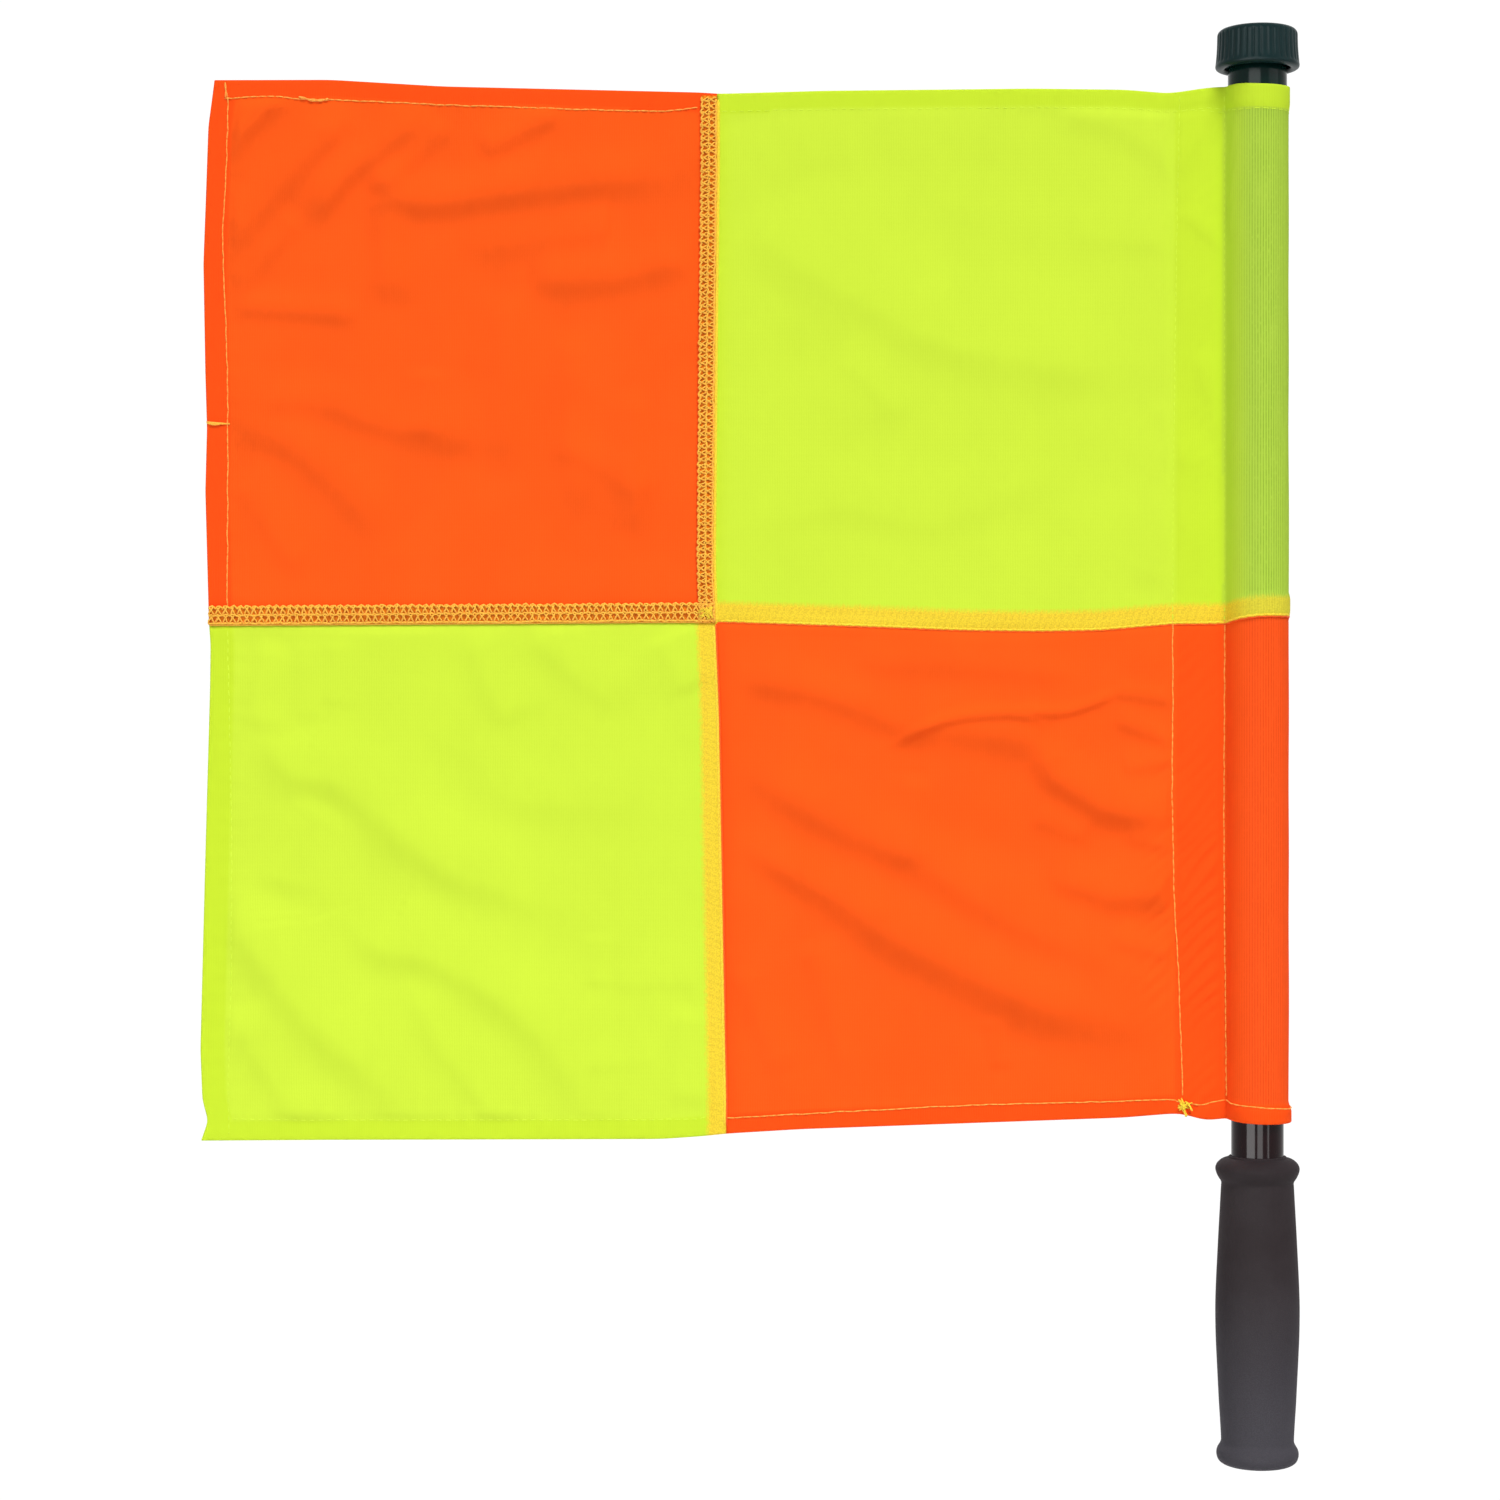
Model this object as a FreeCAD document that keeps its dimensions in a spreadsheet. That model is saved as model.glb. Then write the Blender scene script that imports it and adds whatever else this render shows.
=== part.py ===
"""A hand-held linesman flag: a quartered cloth on a tube that spins on the pole of the grip.

Millimetres. The origin lies on the pole's axis where the hand holds the grip, +Z runs up the pole
to the cap, the cloth reaches towards -X and its front faces -Y.
"""

import FreeCAD, Part
import math
import os

import Sketcher

# The driving dimensions: name, value, what it measures.
SIZES = (
    # The handle
    ("grip_length", 111.7, "grip, from the butt to its top"),
    ("hand_height", 53.0, "height of the grip's widest barrel above the butt"),
    ("butt_radius", 11.4, "flat of the butt"),
    ("butt_thick", 5.0, "closed end of the grip"),
    ("flange_radius", 14.9, "rounded flange at the butt"),
    ("flange_height", 4.2, "height of the flange's widest place"),
    ("waist_radius", 13.2, "grip's two waists"),
    ("lower_waist_height", 9.0, "height of the lower waist"),
    ("barrel_radius", 15.25, "grip's widest barrel"),
    ("upper_waist_drop", 7.9, "upper waist below the grip's top"),
    ("bulge_radius", 15.3, "bulge at the grip's top"),
    ("bulge_drop", 3.7, "bulge's widest place below the grip's top"),
    ("grip_top_radius", 13.0, "flat ring at the grip's top"),
    ("grip_lip_radius", 10.3, "thin lip round the tube at the grip's top"),
    ("grip_lip_rise", 0.6, "lip above the grip's top"),
    # The two tubes
    ("pole_radius", 9.5, "outside of the inner tube"),
    ("pole_wall", 1.6, "wall of the inner tube"),
    ("spin_gap", 0.1, "radial running clearance between the tubes"),
    ("spinner_wall", 1.1, "wall of the outer tube"),
    ("end_play", 0.3, "play of the outer tube at each of its ends"),
    ("collar_height", 4.0, "stop collar under the outer tube"),
    ("bare_length", 12.7, "bare inner tube between the grip's lip and the sleeve"),
    ("collar_rise", 3.0, "stop collar's foot above the sleeve's bottom edge, inside it"),
    ("plug_flange", 2.0, "flange of the lower end plug"),
    ("plug_depth", 12.0, "lower end plug inside the tube"),
    ("plug_bore", 4.5, "radius of the hollow in the lower end plug"),
    ("fit_gap", 0.02, "clearance of the plug, the bush and the collar"),
    # The cap
    ("neck_length", 7.4, "bare outer tube between the sleeve and the cap's rim"),
    ("cap_height", 12.1, "cap, from rim to top"),
    ("cap_top_radius", 14.25, "cap's side just under its rounded top edge"),
    ("cap_side_radius", 14.65, "cap's side just above its lip"),
    ("cap_lip_radius", 15.2, "flared smooth lip"),
    ("cap_lip_height", 2.6, "height of the lip"),
    ("cap_edge_round", 1.7, "rounding of the cap's top edge"),
    ("cap_lip_round", 0.6, "rounding of the lip"),
    ("cap_skirt_radius", 12.4, "inside of the hollow skirt"),
    ("cap_ceiling", 2.5, "thickness of the cap's top"),
    ("cap_rib_radius", 0.95, "radius of one soft rib"),
    ("cap_rib_rise", 0.3, "how far a rib stands out of the side"),
    ("screw_radius", 5.0, "cap's screw spigot"),
    ("screw_length", 12.0, "spigot below the cap's ceiling"),
    ("washer_thick", 1.0, "thrust washer"),
    ("washer_radius", 11.6, "outside of the thrust washer"),
    ("bush_flange", 1.0, "flange of the threaded bush on the tube's end"),
    ("bush_depth", 14.0, "threaded bush inside the tube"),
    # The cloth
    ("cloth_thick", 0.5, "one layer of knitted cloth"),
    ("fly_reach", 384.0, "fly edge from the pole's axis"),
    ("seam_reach", 197.3, "vertical seam from the pole's axis"),
    ("flap_reach", 31.0, "edge of the sleeve's rear flap from the pole's axis"),
    ("sleeve_length", 379.2, "sleeve, from its bottom edge to its top edge"),
    ("cross_rise", 182.0, "cross seam above the sleeve's bottom edge"),
    ("fly_rise", 0.8, "top edge at the fly, above the sleeve's top"),
    ("seam_sink", 3.6, "top edge at the vertical seam, below the sleeve's top"),
    ("hoist_sink", 2.2, "top edge at the sleeve's flap, below the sleeve's top"),
    ("fly_drop", 6.1, "bottom edge at the fly, below the sleeve's bottom"),
    ("seam_drop", 4.8, "bottom edge at the vertical seam, below the sleeve's bottom"),
    ("hoist_lift", 2.6, "bottom edge at the sleeve's flap, above the sleeve's bottom"),
    ("hem_width", 6.6, "top and bottom hems"),
    ("fly_hem_width", 8.4, "hem along the fly edge"),
    ("layer_gap", 0.12, "small clearance between sewn layers"),
    ("sleeve_gap", 0.15, "clearance of the sleeve round the outer tube"),
    ("flap_lap", 1.0, "lap of the sleeve's double layer over the flat cloth"),
    ("fold_rise", 3.4, "height of a main fold"),
    # The seams and threads
    ("tail_width", 6.8, "overlocked seam tail"),
    ("tail_thick", 0.5, "thickness of a seam tail"),
    ("tail_bulge", 0.35, "how far the cross seam stands out round the tube"),
    ("thread_width", 0.5, "width of a sewing thread"),
    ("thread_thick", 0.25, "height of a sewing thread on the cloth"),
    ("sleeve_seam_reach", 12.4, "inner sleeve stitching from the pole's axis"),
    ("flap_seam_reach", 29.6, "outer sleeve stitching from the pole's axis"),
    ("tack_width", 5.2, "bar tack at the lower corner of the sleeve"),
    ("tack_height", 4.4, "bar tack, upwards"),
    ("fly_tack_rise", 73.0, "short cross thread on the fly hem, above the cross seam"),
)

CAP_RIB_COUNT = 36

# Where the cloth's cross-sections stand along a panel, as shares of its width.
STATION_SHARES = (0, 0.03, 0.06, 0.28, 0.52, 0.76, 0.94, 0.97, 1)

# Half the width of a main fold, as a share of the panel's height.
FOLD_WIDTH_SHARE = 0.08

# Each main fold of a panel at those sections: its height as a share of the panel's, and its rise as
# a share of fold_rise, where a negative rise is a hollow in the front. Hems and seams lie flat.
FOLD_SHARES = {
    "fly_upper": (
        ((0.79, 0.79, 0.79, 0.79, 0.79, 0.8, 0.8, 0.8, 0.8), (0, 0, 0, 0.7, 1, 0.7, 0, 0, 0)),
        ((0.42, 0.42, 0.41, 0.37, 0.33, 0.32, 0.32, 0.32, 0.32), (0, 0, 0, 0.9, 0.6, 0.2, 0, 0, 0)),
    ),
    "hoist_upper": (
        ((0.72, 0.72, 0.71, 0.63, 0.54, 0.49, 0.47, 0.47, 0.47), (0, 0, 0, 0.9, 1, 0.8, 0, 0, 0)),
        ((0.17, 0.17, 0.17, 0.19, 0.21, 0.24, 0.25, 0.25, 0.25), (0, 0, 0, 0.8, 0.7, 0.3, 0, 0, 0)),
    ),
    "fly_lower": (
        ((0.82, 0.8, 0.79, 0.67, 0.54, 0.45, 0.42, 0.42, 0.42), (0, 0, 0, 1, 0.9, 0.6, 0, 0, 0)),
        ((0.4, 0.39, 0.38, 0.33, 0.27, 0.21, 0.18, 0.18, 0.18), (0, 0, 0, -0.9, -1, -0.6, 0, 0, 0)),
    ),
    "hoist_lower": (
        ((0.73, 0.72, 0.71, 0.61, 0.49, 0.4, 0.37, 0.37, 0.37), (0, 0, 0, 0.9, 0.8, 0.6, 0, 0, 0)),
        ((0.5, 0.49, 0.48, 0.39, 0.28, 0.19, 0.16, 0.16, 0.16), (0, 0, 0, 0.8, 1, 0.9, 0, 0, 0)),
    ),
}


class Size:
    """A length as a number, which draws a shape, and as a formula, which binds it to the sheet."""

    def __init__(self, value, text):
        self.value = value
        self.text = text

    def joined(self, other, sign, value):
        return Size(value, f"({self.text} {sign} {plain(other).text})")

    def __add__(self, other):
        return self.joined(other, "+", self.value + plain(other).value)

    def __sub__(self, other):
        return self.joined(other, "-", self.value - plain(other).value)

    def __mul__(self, other):
        return self.joined(other, "*", self.value * plain(other).value)

    def __truediv__(self, other):
        return self.joined(other, "/", self.value / plain(other).value)

    def __neg__(self):
        return Size(-self.value, f"(-{self.text})")


def plain(number):
    """A Size, or a plain number such as 0 or a share, as a Size."""
    return number if isinstance(number, Size) else Size(number, repr(number))


def between(start, end, share):
    """The size that lies that share of the way from start to end."""
    return start + (end - start) * share


def across(radius, off_axis):
    """How far a circle of that radius reaches along X at a distance off_axis from the X axis."""
    value = math.sqrt(radius.value**2 - off_axis.value**2)
    return Size(value, f"sqrt({radius.text}^2 - {off_axis.text}^2)")


document = FreeCAD.newDocument("linesman_flag")
sheet = document.addObject("Spreadsheet::Sheet", "Dimensions")


class Sizes:
    """The sheet's sizes by name."""


for row, (name, value, meaning) in enumerate(SIZES, start=1):
    sheet.set(f"A{row}", meaning)
    sheet.set(f"B{row}", str(value))
    sheet.setAlias(f"B{row}", name)
    setattr(Sizes, name, Size(value, f"Dimensions.{name}"))
document.recompute()
S = Sizes

# Places that several pieces share
butt_base = -S.hand_height
tube_base = butt_base + S.butt_thick + S.plug_flange
tube_bore = S.pole_radius - S.pole_wall
sleeve_bottom = butt_base + S.grip_length + S.grip_lip_rise + S.bare_length
sleeve_top = sleeve_bottom + S.sleeve_length
cross_height = sleeve_bottom + S.cross_rise
fly_top = sleeve_top + S.fly_rise
seam_top = sleeve_top - S.seam_sink
hoist_top = sleeve_top - S.hoist_sink
fly_bottom = sleeve_bottom - S.fly_drop
seam_bottom = sleeve_bottom - S.seam_drop
hoist_bottom = sleeve_bottom + S.hoist_lift
collar_base = sleeve_bottom + S.collar_rise
cap_base = sleeve_top + S.neck_length
ceiling_base = cap_base + S.cap_height - S.cap_ceiling
washer_base = ceiling_base - S.washer_thick
tube_top = washer_base - S.bush_flange
spinner_bore = S.pole_radius + S.spin_gap
spinner_radius = spinner_bore + S.spinner_wall
spinner_base = collar_base + S.collar_height + S.end_play
spinner_top = washer_base - S.end_play
sleeve_bore = spinner_radius + S.sleeve_gap
sleeve_radius = sleeve_bore + S.cloth_thick
double_face = S.cloth_thick + S.layer_gap
thread_front = double_face + S.thread_thick


def new_body(name, height=None):
    """A body with its own label, raised to height."""
    body = document.addObject("PartDesign::Body", name)
    body.Label = name
    if height is not None:
        body.setExpression("Placement.Base.z", height.text)
    return body


def new_sketch(body, role, away=None):
    """A sketch on one of the body's origin planes, moved along the plane's normal."""
    planes = [plane for plane in body.Origin.OriginFeatures if plane.Role == role]
    sketch = body.newObject("Sketcher::SketchObject", body.Name + "_sketch")
    sketch.AttachmentSupport = [(planes[0], "")]
    sketch.MapMode = "FlatFace"
    if away is not None:
        sketch.AttachmentOffset = FreeCAD.Placement(FreeCAD.Vector(0, 0, away.value), FreeCAD.Rotation())
        sketch.setExpression("AttachmentOffset.Base.z", away.text)
    return sketch


def vector(place):
    return FreeCAD.Vector(place[0].value, place[1].value, 0)


def end_number(sketch, edge, place):
    """1 where the edge starts at place, 2 where it ends there."""
    return 1 if (sketch.getPoint(edge, 1) - vector(place)).Length < Part.Precision.confusion() else 2


def draw_outline(sketch, corners):
    """A closed outline. A corner is (a, b), or (a, b, (c, d)) where an arc through c, d follows it."""
    corners = [tuple(plain(v) for v in corner[:2]) + tuple(corner[2:]) for corner in corners]
    constraints = []
    bound = []

    def place_at(edge, point, place):
        for kind, size in zip(("DistanceX", "DistanceY"), place):
            bound.append((len(constraints), size.text))
            constraints.append(Sketcher.Constraint(kind, -1, 1, edge, point, size.value))

    edges = []
    for number, corner in enumerate(corners):
        following = corners[(number + 1) % len(corners)]
        if len(corner) > 2:
            through = tuple(plain(v) for v in corner[2])
            curve = Part.Arc(vector(corner), vector(through), vector(following))
            edge = sketch.addGeometry(curve, False)
            marker = sketch.addGeometry(Part.Point(vector(through)), True)
            constraints.append(Sketcher.Constraint("PointOnObject", marker, 1, edge))
            place_at(marker, 1, through)
        else:
            edge = sketch.addGeometry(Part.LineSegment(vector(corner), vector(following)), False)
        edges.append(edge)
    for number, corner in enumerate(corners):
        edge, before = edges[number], edges[number - 1]
        start = end_number(sketch, edge, corner)
        constraints.append(
            Sketcher.Constraint("Coincident", before, end_number(sketch, before, corner), edge, start)
        )
        place_at(edge, start, corner[:2])
    sketch.addConstraint(constraints)
    for number, text in bound:
        sketch.setExpression(f"Constraints[{number}]", text)


def draw_circles(sketch, *radii):
    """Circles round the sketch's origin."""
    for radius in radii:
        circle = Part.Circle(FreeCAD.Vector(), FreeCAD.Vector(0, 0, 1), radius.value)
        edge = sketch.addGeometry(circle, False)
        sketch.addConstraint(Sketcher.Constraint("Coincident", edge, 3, -1, 1))
        number = sketch.addConstraint(Sketcher.Constraint("Radius", edge, radius.value))
        sketch.setExpression(f"Constraints[{number}]", radius.text)


def pad(body, sketch, length, reversed_way=False):
    feature = body.newObject("PartDesign::Pad", body.Name + "_pad")
    feature.Profile = sketch
    feature.Reversed = reversed_way
    feature.Length = length.value
    feature.setExpression("Length", length.text)
    return feature


def revolve(body, corners):
    """A turned piece: the outline's first number is the radius and its second the height."""
    sketch = new_sketch(body, "XZ_Plane")
    draw_outline(sketch, corners)
    feature = body.newObject("PartDesign::Revolution", body.Name + "_turned")
    feature.Profile = sketch
    feature.ReferenceAxis = (sketch, ["V_Axis"])
    feature.Angle = 360
    return feature


def ring(name, outer, inner, height, length):
    """A tube, collar or washer round the pole's axis."""
    body = new_body(name, height)
    sketch = new_sketch(body, "XY_Plane")
    draw_circles(sketch, outer, inner)
    pad(body, sketch, length)
    return body


def flat_strip(name, corners, front, thick):
    """A flat piece in the cloth's plane, with its face turned to the front at Y = -front."""
    body = new_body(name)
    sketch = new_sketch(body, "XZ_Plane", front)
    draw_outline(sketch, corners)
    pad(body, sketch, thick, reversed_way=True)
    return body


def make_grip():
    """One moulded sleeve with a closed butt, a barrel between two waists and a bulge at the top."""
    body = new_body("grip", butt_base)
    shoulder_share = 0.45
    rounding_share, rounding_height_share = 0.25, 0.3
    waist_turn_share = 0.02
    flange_low = (
        between(S.flange_radius, S.butt_radius, rounding_share),
        S.flange_height * rounding_height_share,
    )
    barrel = (S.barrel_radius, S.hand_height)
    bulge_height = S.grip_length - S.bulge_drop
    waist_height = S.grip_length - S.upper_waist_drop
    flange_waist = (
        between(S.waist_radius, S.flange_radius, shoulder_share),
        between(S.lower_waist_height, S.flange_height, shoulder_share),
    )
    bulge_waist = (
        between(S.waist_radius, S.bulge_radius, shoulder_share),
        between(waist_height, bulge_height, shoulder_share),
    )
    top_round = (
        between(S.bulge_radius, S.grip_top_radius, rounding_share),
        between(S.grip_length, bulge_height, rounding_height_share),
    )
    waist_turn = between(S.waist_radius, S.barrel_radius, waist_turn_share)
    revolve(
        body,
        [
            (0, 0),
            (S.butt_radius, 0, flange_low),
            (S.flange_radius, S.flange_height, flange_waist),
            (waist_turn, S.lower_waist_height, barrel),
            (waist_turn, waist_height, bulge_waist),
            (S.bulge_radius, bulge_height, top_round),
            (S.grip_top_radius, S.grip_length),
            (S.grip_lip_radius, S.grip_length),
            (S.grip_lip_radius, S.grip_length + S.grip_lip_rise),
            (S.pole_radius, S.grip_length + S.grip_lip_rise),
            (S.pole_radius, S.butt_thick),
            (0, S.butt_thick),
        ],
    )
    return body


def make_end_plug():
    """A plug that closes the tube's lower end inside the grip and carries it on the butt."""
    body = new_body("end_plug", butt_base + S.butt_thick)
    stem = tube_bore - S.fit_gap
    top = S.plug_flange + S.plug_depth
    revolve(
        body,
        [
            (0, 0),
            (S.pole_radius - S.fit_gap, 0),
            (S.pole_radius - S.fit_gap, S.plug_flange),
            (stem, S.plug_flange),
            (stem, top),
            (S.plug_bore, top),
            (S.plug_bore, S.plug_flange),
            (0, S.plug_flange),
        ],
    )
    return body


def make_cap_bush():
    """A threaded bush pressed into the tube's upper end, which the cap's spigot screws into."""
    body = new_body("cap_bush", tube_top)
    bore = S.screw_radius + S.spin_gap
    stem = tube_bore - S.fit_gap
    revolve(
        body,
        [
            (bore, -S.bush_depth),
            (stem, -S.bush_depth),
            (stem, 0),
            (S.pole_radius, 0),
            (S.pole_radius, S.bush_flange - S.fit_gap),
            (bore, S.bush_flange - S.fit_gap),
        ],
    )
    return body


def make_cap():
    """A hollow screw cap with a rounded top edge, soft upright ribs, a flared lip and a spigot."""
    body = new_body("cap", cap_base)
    ceiling = S.cap_height - S.cap_ceiling
    half_turn_share = 0.5
    corner_share = 1 - math.sqrt(half_turn_share)
    lip_top = S.cap_lip_height
    rib_start_share = 0.8
    rib_start = lip_top * rib_start_share
    edge_centre = S.cap_height - S.cap_edge_round
    revolve(
        body,
        [
            (0, ceiling - S.screw_length),
            (S.screw_radius, ceiling - S.screw_length),
            (S.screw_radius, ceiling),
            (S.cap_skirt_radius, ceiling),
            (S.cap_skirt_radius, 0),
            (
                S.cap_lip_radius - S.cap_lip_round,
                0,
                (S.cap_lip_radius - S.cap_lip_round * corner_share, S.cap_lip_round * corner_share),
            ),
            (S.cap_lip_radius, S.cap_lip_round),
            (S.cap_side_radius, lip_top),
            (
                S.cap_top_radius,
                edge_centre,
                (
                    S.cap_top_radius - S.cap_edge_round * corner_share,
                    S.cap_height - S.cap_edge_round * corner_share,
                ),
            ),
            (S.cap_top_radius - S.cap_edge_round, S.cap_height),
            (0, S.cap_height),
        ],
    )
    document.recompute()
    sketch = new_sketch(body, "XY_Plane", rib_start)
    centre = S.cap_top_radius + S.cap_rib_rise - S.cap_rib_radius
    circle = Part.Circle(FreeCAD.Vector(centre.value, 0, 0), FreeCAD.Vector(0, 0, 1), S.cap_rib_radius.value)
    edge = sketch.addGeometry(circle, False)
    sketch.addConstraint(Sketcher.Constraint("PointOnObject", edge, 3, -1))
    number = sketch.addConstraint(Sketcher.Constraint("Radius", edge, S.cap_rib_radius.value))
    sketch.setExpression(f"Constraints[{number}]", S.cap_rib_radius.text)
    number = sketch.addConstraint(Sketcher.Constraint("DistanceX", -1, 1, edge, 3, centre.value))
    sketch.setExpression(f"Constraints[{number}]", centre.text)
    rib = pad(body, sketch, edge_centre - rib_start)
    document.recompute()
    pattern = body.newObject("PartDesign::PolarPattern", "cap_ribs")
    pattern.Originals = [rib]
    pattern.Axis = (sketch, ["N_Axis"])
    pattern.Angle = 360
    pattern.Occurrences = CAP_RIB_COUNT
    body.Tip = pattern
    return body


def keyhole(body, base, height, outer, reach):
    """A sleeve's section: a ring round the tube, and from it a double layer out to reach."""
    sketch = new_sketch(body, "XY_Plane", base)
    front = double_face
    meet = -across(outer, front)
    edge = -reach
    draw_outline(
        sketch,
        [
            (edge, -front),
            (meet, -front, (plain(0), -outer)),
            (across(outer, front), -front, (outer, plain(0))),
            (across(outer, front), front, (plain(0), outer)),
            (meet, front),
            (edge, front),
        ],
    )
    draw_circles(sketch, sleeve_bore)
    return pad(body, sketch, height)


def panel_section(body, reach, low, high, folds, hem_side):
    """One upright section of a panel at a distance reach from the axis, with its folds and hem."""
    sketch = new_sketch(body, "YZ_Plane", -reach)
    front, back, hem = -S.cloth_thick, plain(0), S.cloth_thick
    upward, downward = [], []
    for height_share, rise_share in sorted(folds):
        centre = between(low, high, height_share)
        half = (high - low) * FOLD_WIDTH_SHARE
        start, end = centre - half, centre + half
        rise = S.fold_rise * rise_share
        if rise_share:
            upward += [(front, start, (front - rise, centre)), (front, end)]
            downward = [(back, end, (back - rise, centre)), (back, start)] + downward
        else:
            upward += [(front, start), (front, end)]
            downward = [(back, end), (back, start)] + downward
    if hem_side == "top":
        top = [(front, high), (hem, high), (hem, high - S.hem_width), (back, high - S.hem_width)]
        bottom = [(back, low), (front, low)]
    else:
        top = [(front, high), (back, high)]
        bottom = [(back, low + S.hem_width), (hem, low + S.hem_width), (hem, low), (front, low)]
    draw_outline(sketch, upward + top + downward + bottom)
    return sketch


def make_panel(name, outer, inner, hem_side):
    """A quarter of the cloth between two upright edges, each (reach, low, high), as one loft."""
    body = new_body(name)
    sections = []
    for number, share in enumerate(STATION_SHARES):
        reach, low, high = (between(a, b, share) for a, b in zip(outer, inner))
        folds = [(heights[number], rises[number]) for heights, rises in FOLD_SHARES[name]]
        sections.append(panel_section(body, reach, low, high, folds, hem_side))
    loft = body.newObject("PartDesign::AdditiveLoft", name + "_loft")
    loft.Profile = sections[0]
    loft.Sections = sections[1:]
    return body


def add_fly_hem(body, low, high):
    """The fly edge is turned to the back and sewn, so the cloth is double there."""
    sketch = new_sketch(body, "XZ_Plane", S.cloth_thick / 2)
    inner_edge = S.fly_hem_width - S.fly_reach
    draw_outline(
        sketch,
        [
            (-S.fly_reach, low + S.layer_gap),
            (inner_edge, low + S.layer_gap * 2),
            (inner_edge, high - S.layer_gap * 2),
            (-S.fly_reach, high - S.layer_gap),
        ],
    )
    pad(body, sketch, S.cloth_thick / 2 + double_face, reversed_way=True)


def make_panels():
    fly = S.fly_reach
    seam = S.seam_reach
    flap = S.flap_reach
    cross = cross_height
    below = cross - S.layer_gap
    upper_fly = make_panel("fly_upper", (fly, cross, fly_top), (seam, cross, seam_top), "top")
    document.recompute()
    hem_share = plain(1) - S.fly_hem_width / (fly - seam)
    add_fly_hem(upper_fly, cross, between(seam_top, fly_top, hem_share))
    lower_fly = make_panel("fly_lower", (fly, fly_bottom, below), (seam, seam_bottom, below), "bottom")
    document.recompute()
    add_fly_hem(lower_fly, between(seam_bottom, fly_bottom, hem_share), below)
    seam_side = seam - S.layer_gap
    upper_hoist = make_panel(
        "hoist_upper", (seam_side, cross, seam_top), (flap, cross, hoist_top), "top"
    )
    document.recompute()
    sleeve_start = cross + S.tail_width + S.layer_gap
    lapped = flap + S.flap_lap
    keyhole(upper_hoist, sleeve_start, sleeve_top - sleeve_start, sleeve_radius, lapped)
    lower_hoist = make_panel(
        "hoist_lower", (seam_side, seam_bottom, below), (flap, hoist_bottom, below), "bottom"
    )
    document.recompute()
    lower_sleeve = below - S.layer_gap - sleeve_bottom
    keyhole(lower_hoist, sleeve_bottom, lower_sleeve, sleeve_radius, lapped)
    return [upper_fly, lower_fly, upper_hoist, lower_hoist]


def make_seams():
    """Four overlocked seam tails: two lie on the front, two behind the yellow cloth."""
    front = double_face + S.tail_thick
    cross_top = cross_height + S.tail_width
    seam_left = -(S.seam_reach + S.tail_width)
    upper = flat_strip(
        "upper_seam",
        [
            (seam_left, cross_top + S.layer_gap),
            (-S.seam_reach, cross_top + S.layer_gap),
            (-S.seam_reach, seam_top),
            (seam_left, seam_top),
        ],
        front,
        S.tail_thick,
    )
    fly = flat_strip(
        "fly_seam",
        [
            (-S.fly_reach, cross_height),
            (-S.seam_reach, cross_height),
            (-S.seam_reach, cross_top),
            (-S.fly_reach, cross_top),
        ],
        front,
        S.tail_thick,
    )
    hem_top = seam_bottom + S.hem_width + S.layer_gap
    lower = flat_strip(
        "lower_seam",
        [
            (seam_left, hem_top),
            (-S.seam_reach, hem_top),
            (-S.seam_reach, cross_height - S.layer_gap * 2),
            (seam_left, cross_height - S.layer_gap * 2),
        ],
        -S.layer_gap,
        S.tail_thick,
    )
    flap_edge = S.flap_reach - S.layer_gap
    hoist = flat_strip(
        "hoist_seam",
        [
            (-S.seam_reach, cross_height),
            (S.flap_lap - flap_edge, cross_height),
            (S.flap_lap - flap_edge, cross_top),
            (-S.seam_reach, cross_top),
        ],
        -S.layer_gap,
        S.tail_thick - S.layer_gap,
    )
    document.recompute()
    keyhole(hoist, cross_height, S.tail_width, sleeve_radius + S.tail_bulge, flap_edge)
    return [upper, fly, lower, hoist]


def make_thread(name, places):
    """A run of sewing thread on the front of the cloth, upright or level, through (x, z) places."""
    half = S.thread_width / 2
    level = abs(places[0][0].value - places[-1][0].value) > abs(places[0][1].value - places[-1][1].value)
    one_side, other_side = [], []
    for x, z in places:
        one_side.append((x, z - half) if level else (x - half, z))
        other_side.append((x, z + half) if level else (x + half, z))
    return flat_strip(name, one_side + other_side[::-1], thread_front, S.thread_thick)


def add_thread_round_sleeve(body, height):
    """The hem's thread goes on round the sleeve, as an open hoop from layer to layer."""
    sketch = new_sketch(body, "XY_Plane", height - S.thread_width / 2)
    inner = sleeve_radius + S.layer_gap
    outer = inner + S.thread_thick
    draw_outline(
        sketch,
        [
            (-across(outer, thread_front), -thread_front, (plain(0), -outer)),
            (outer, 0, (plain(0), outer)),
            (-across(outer, thread_front), thread_front),
            (-across(inner, thread_front), thread_front, (plain(0), inner)),
            (inner, 0, (plain(0), -inner)),
            (-across(inner, thread_front), -thread_front),
        ],
    )
    pad(body, sketch, S.thread_width)


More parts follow.
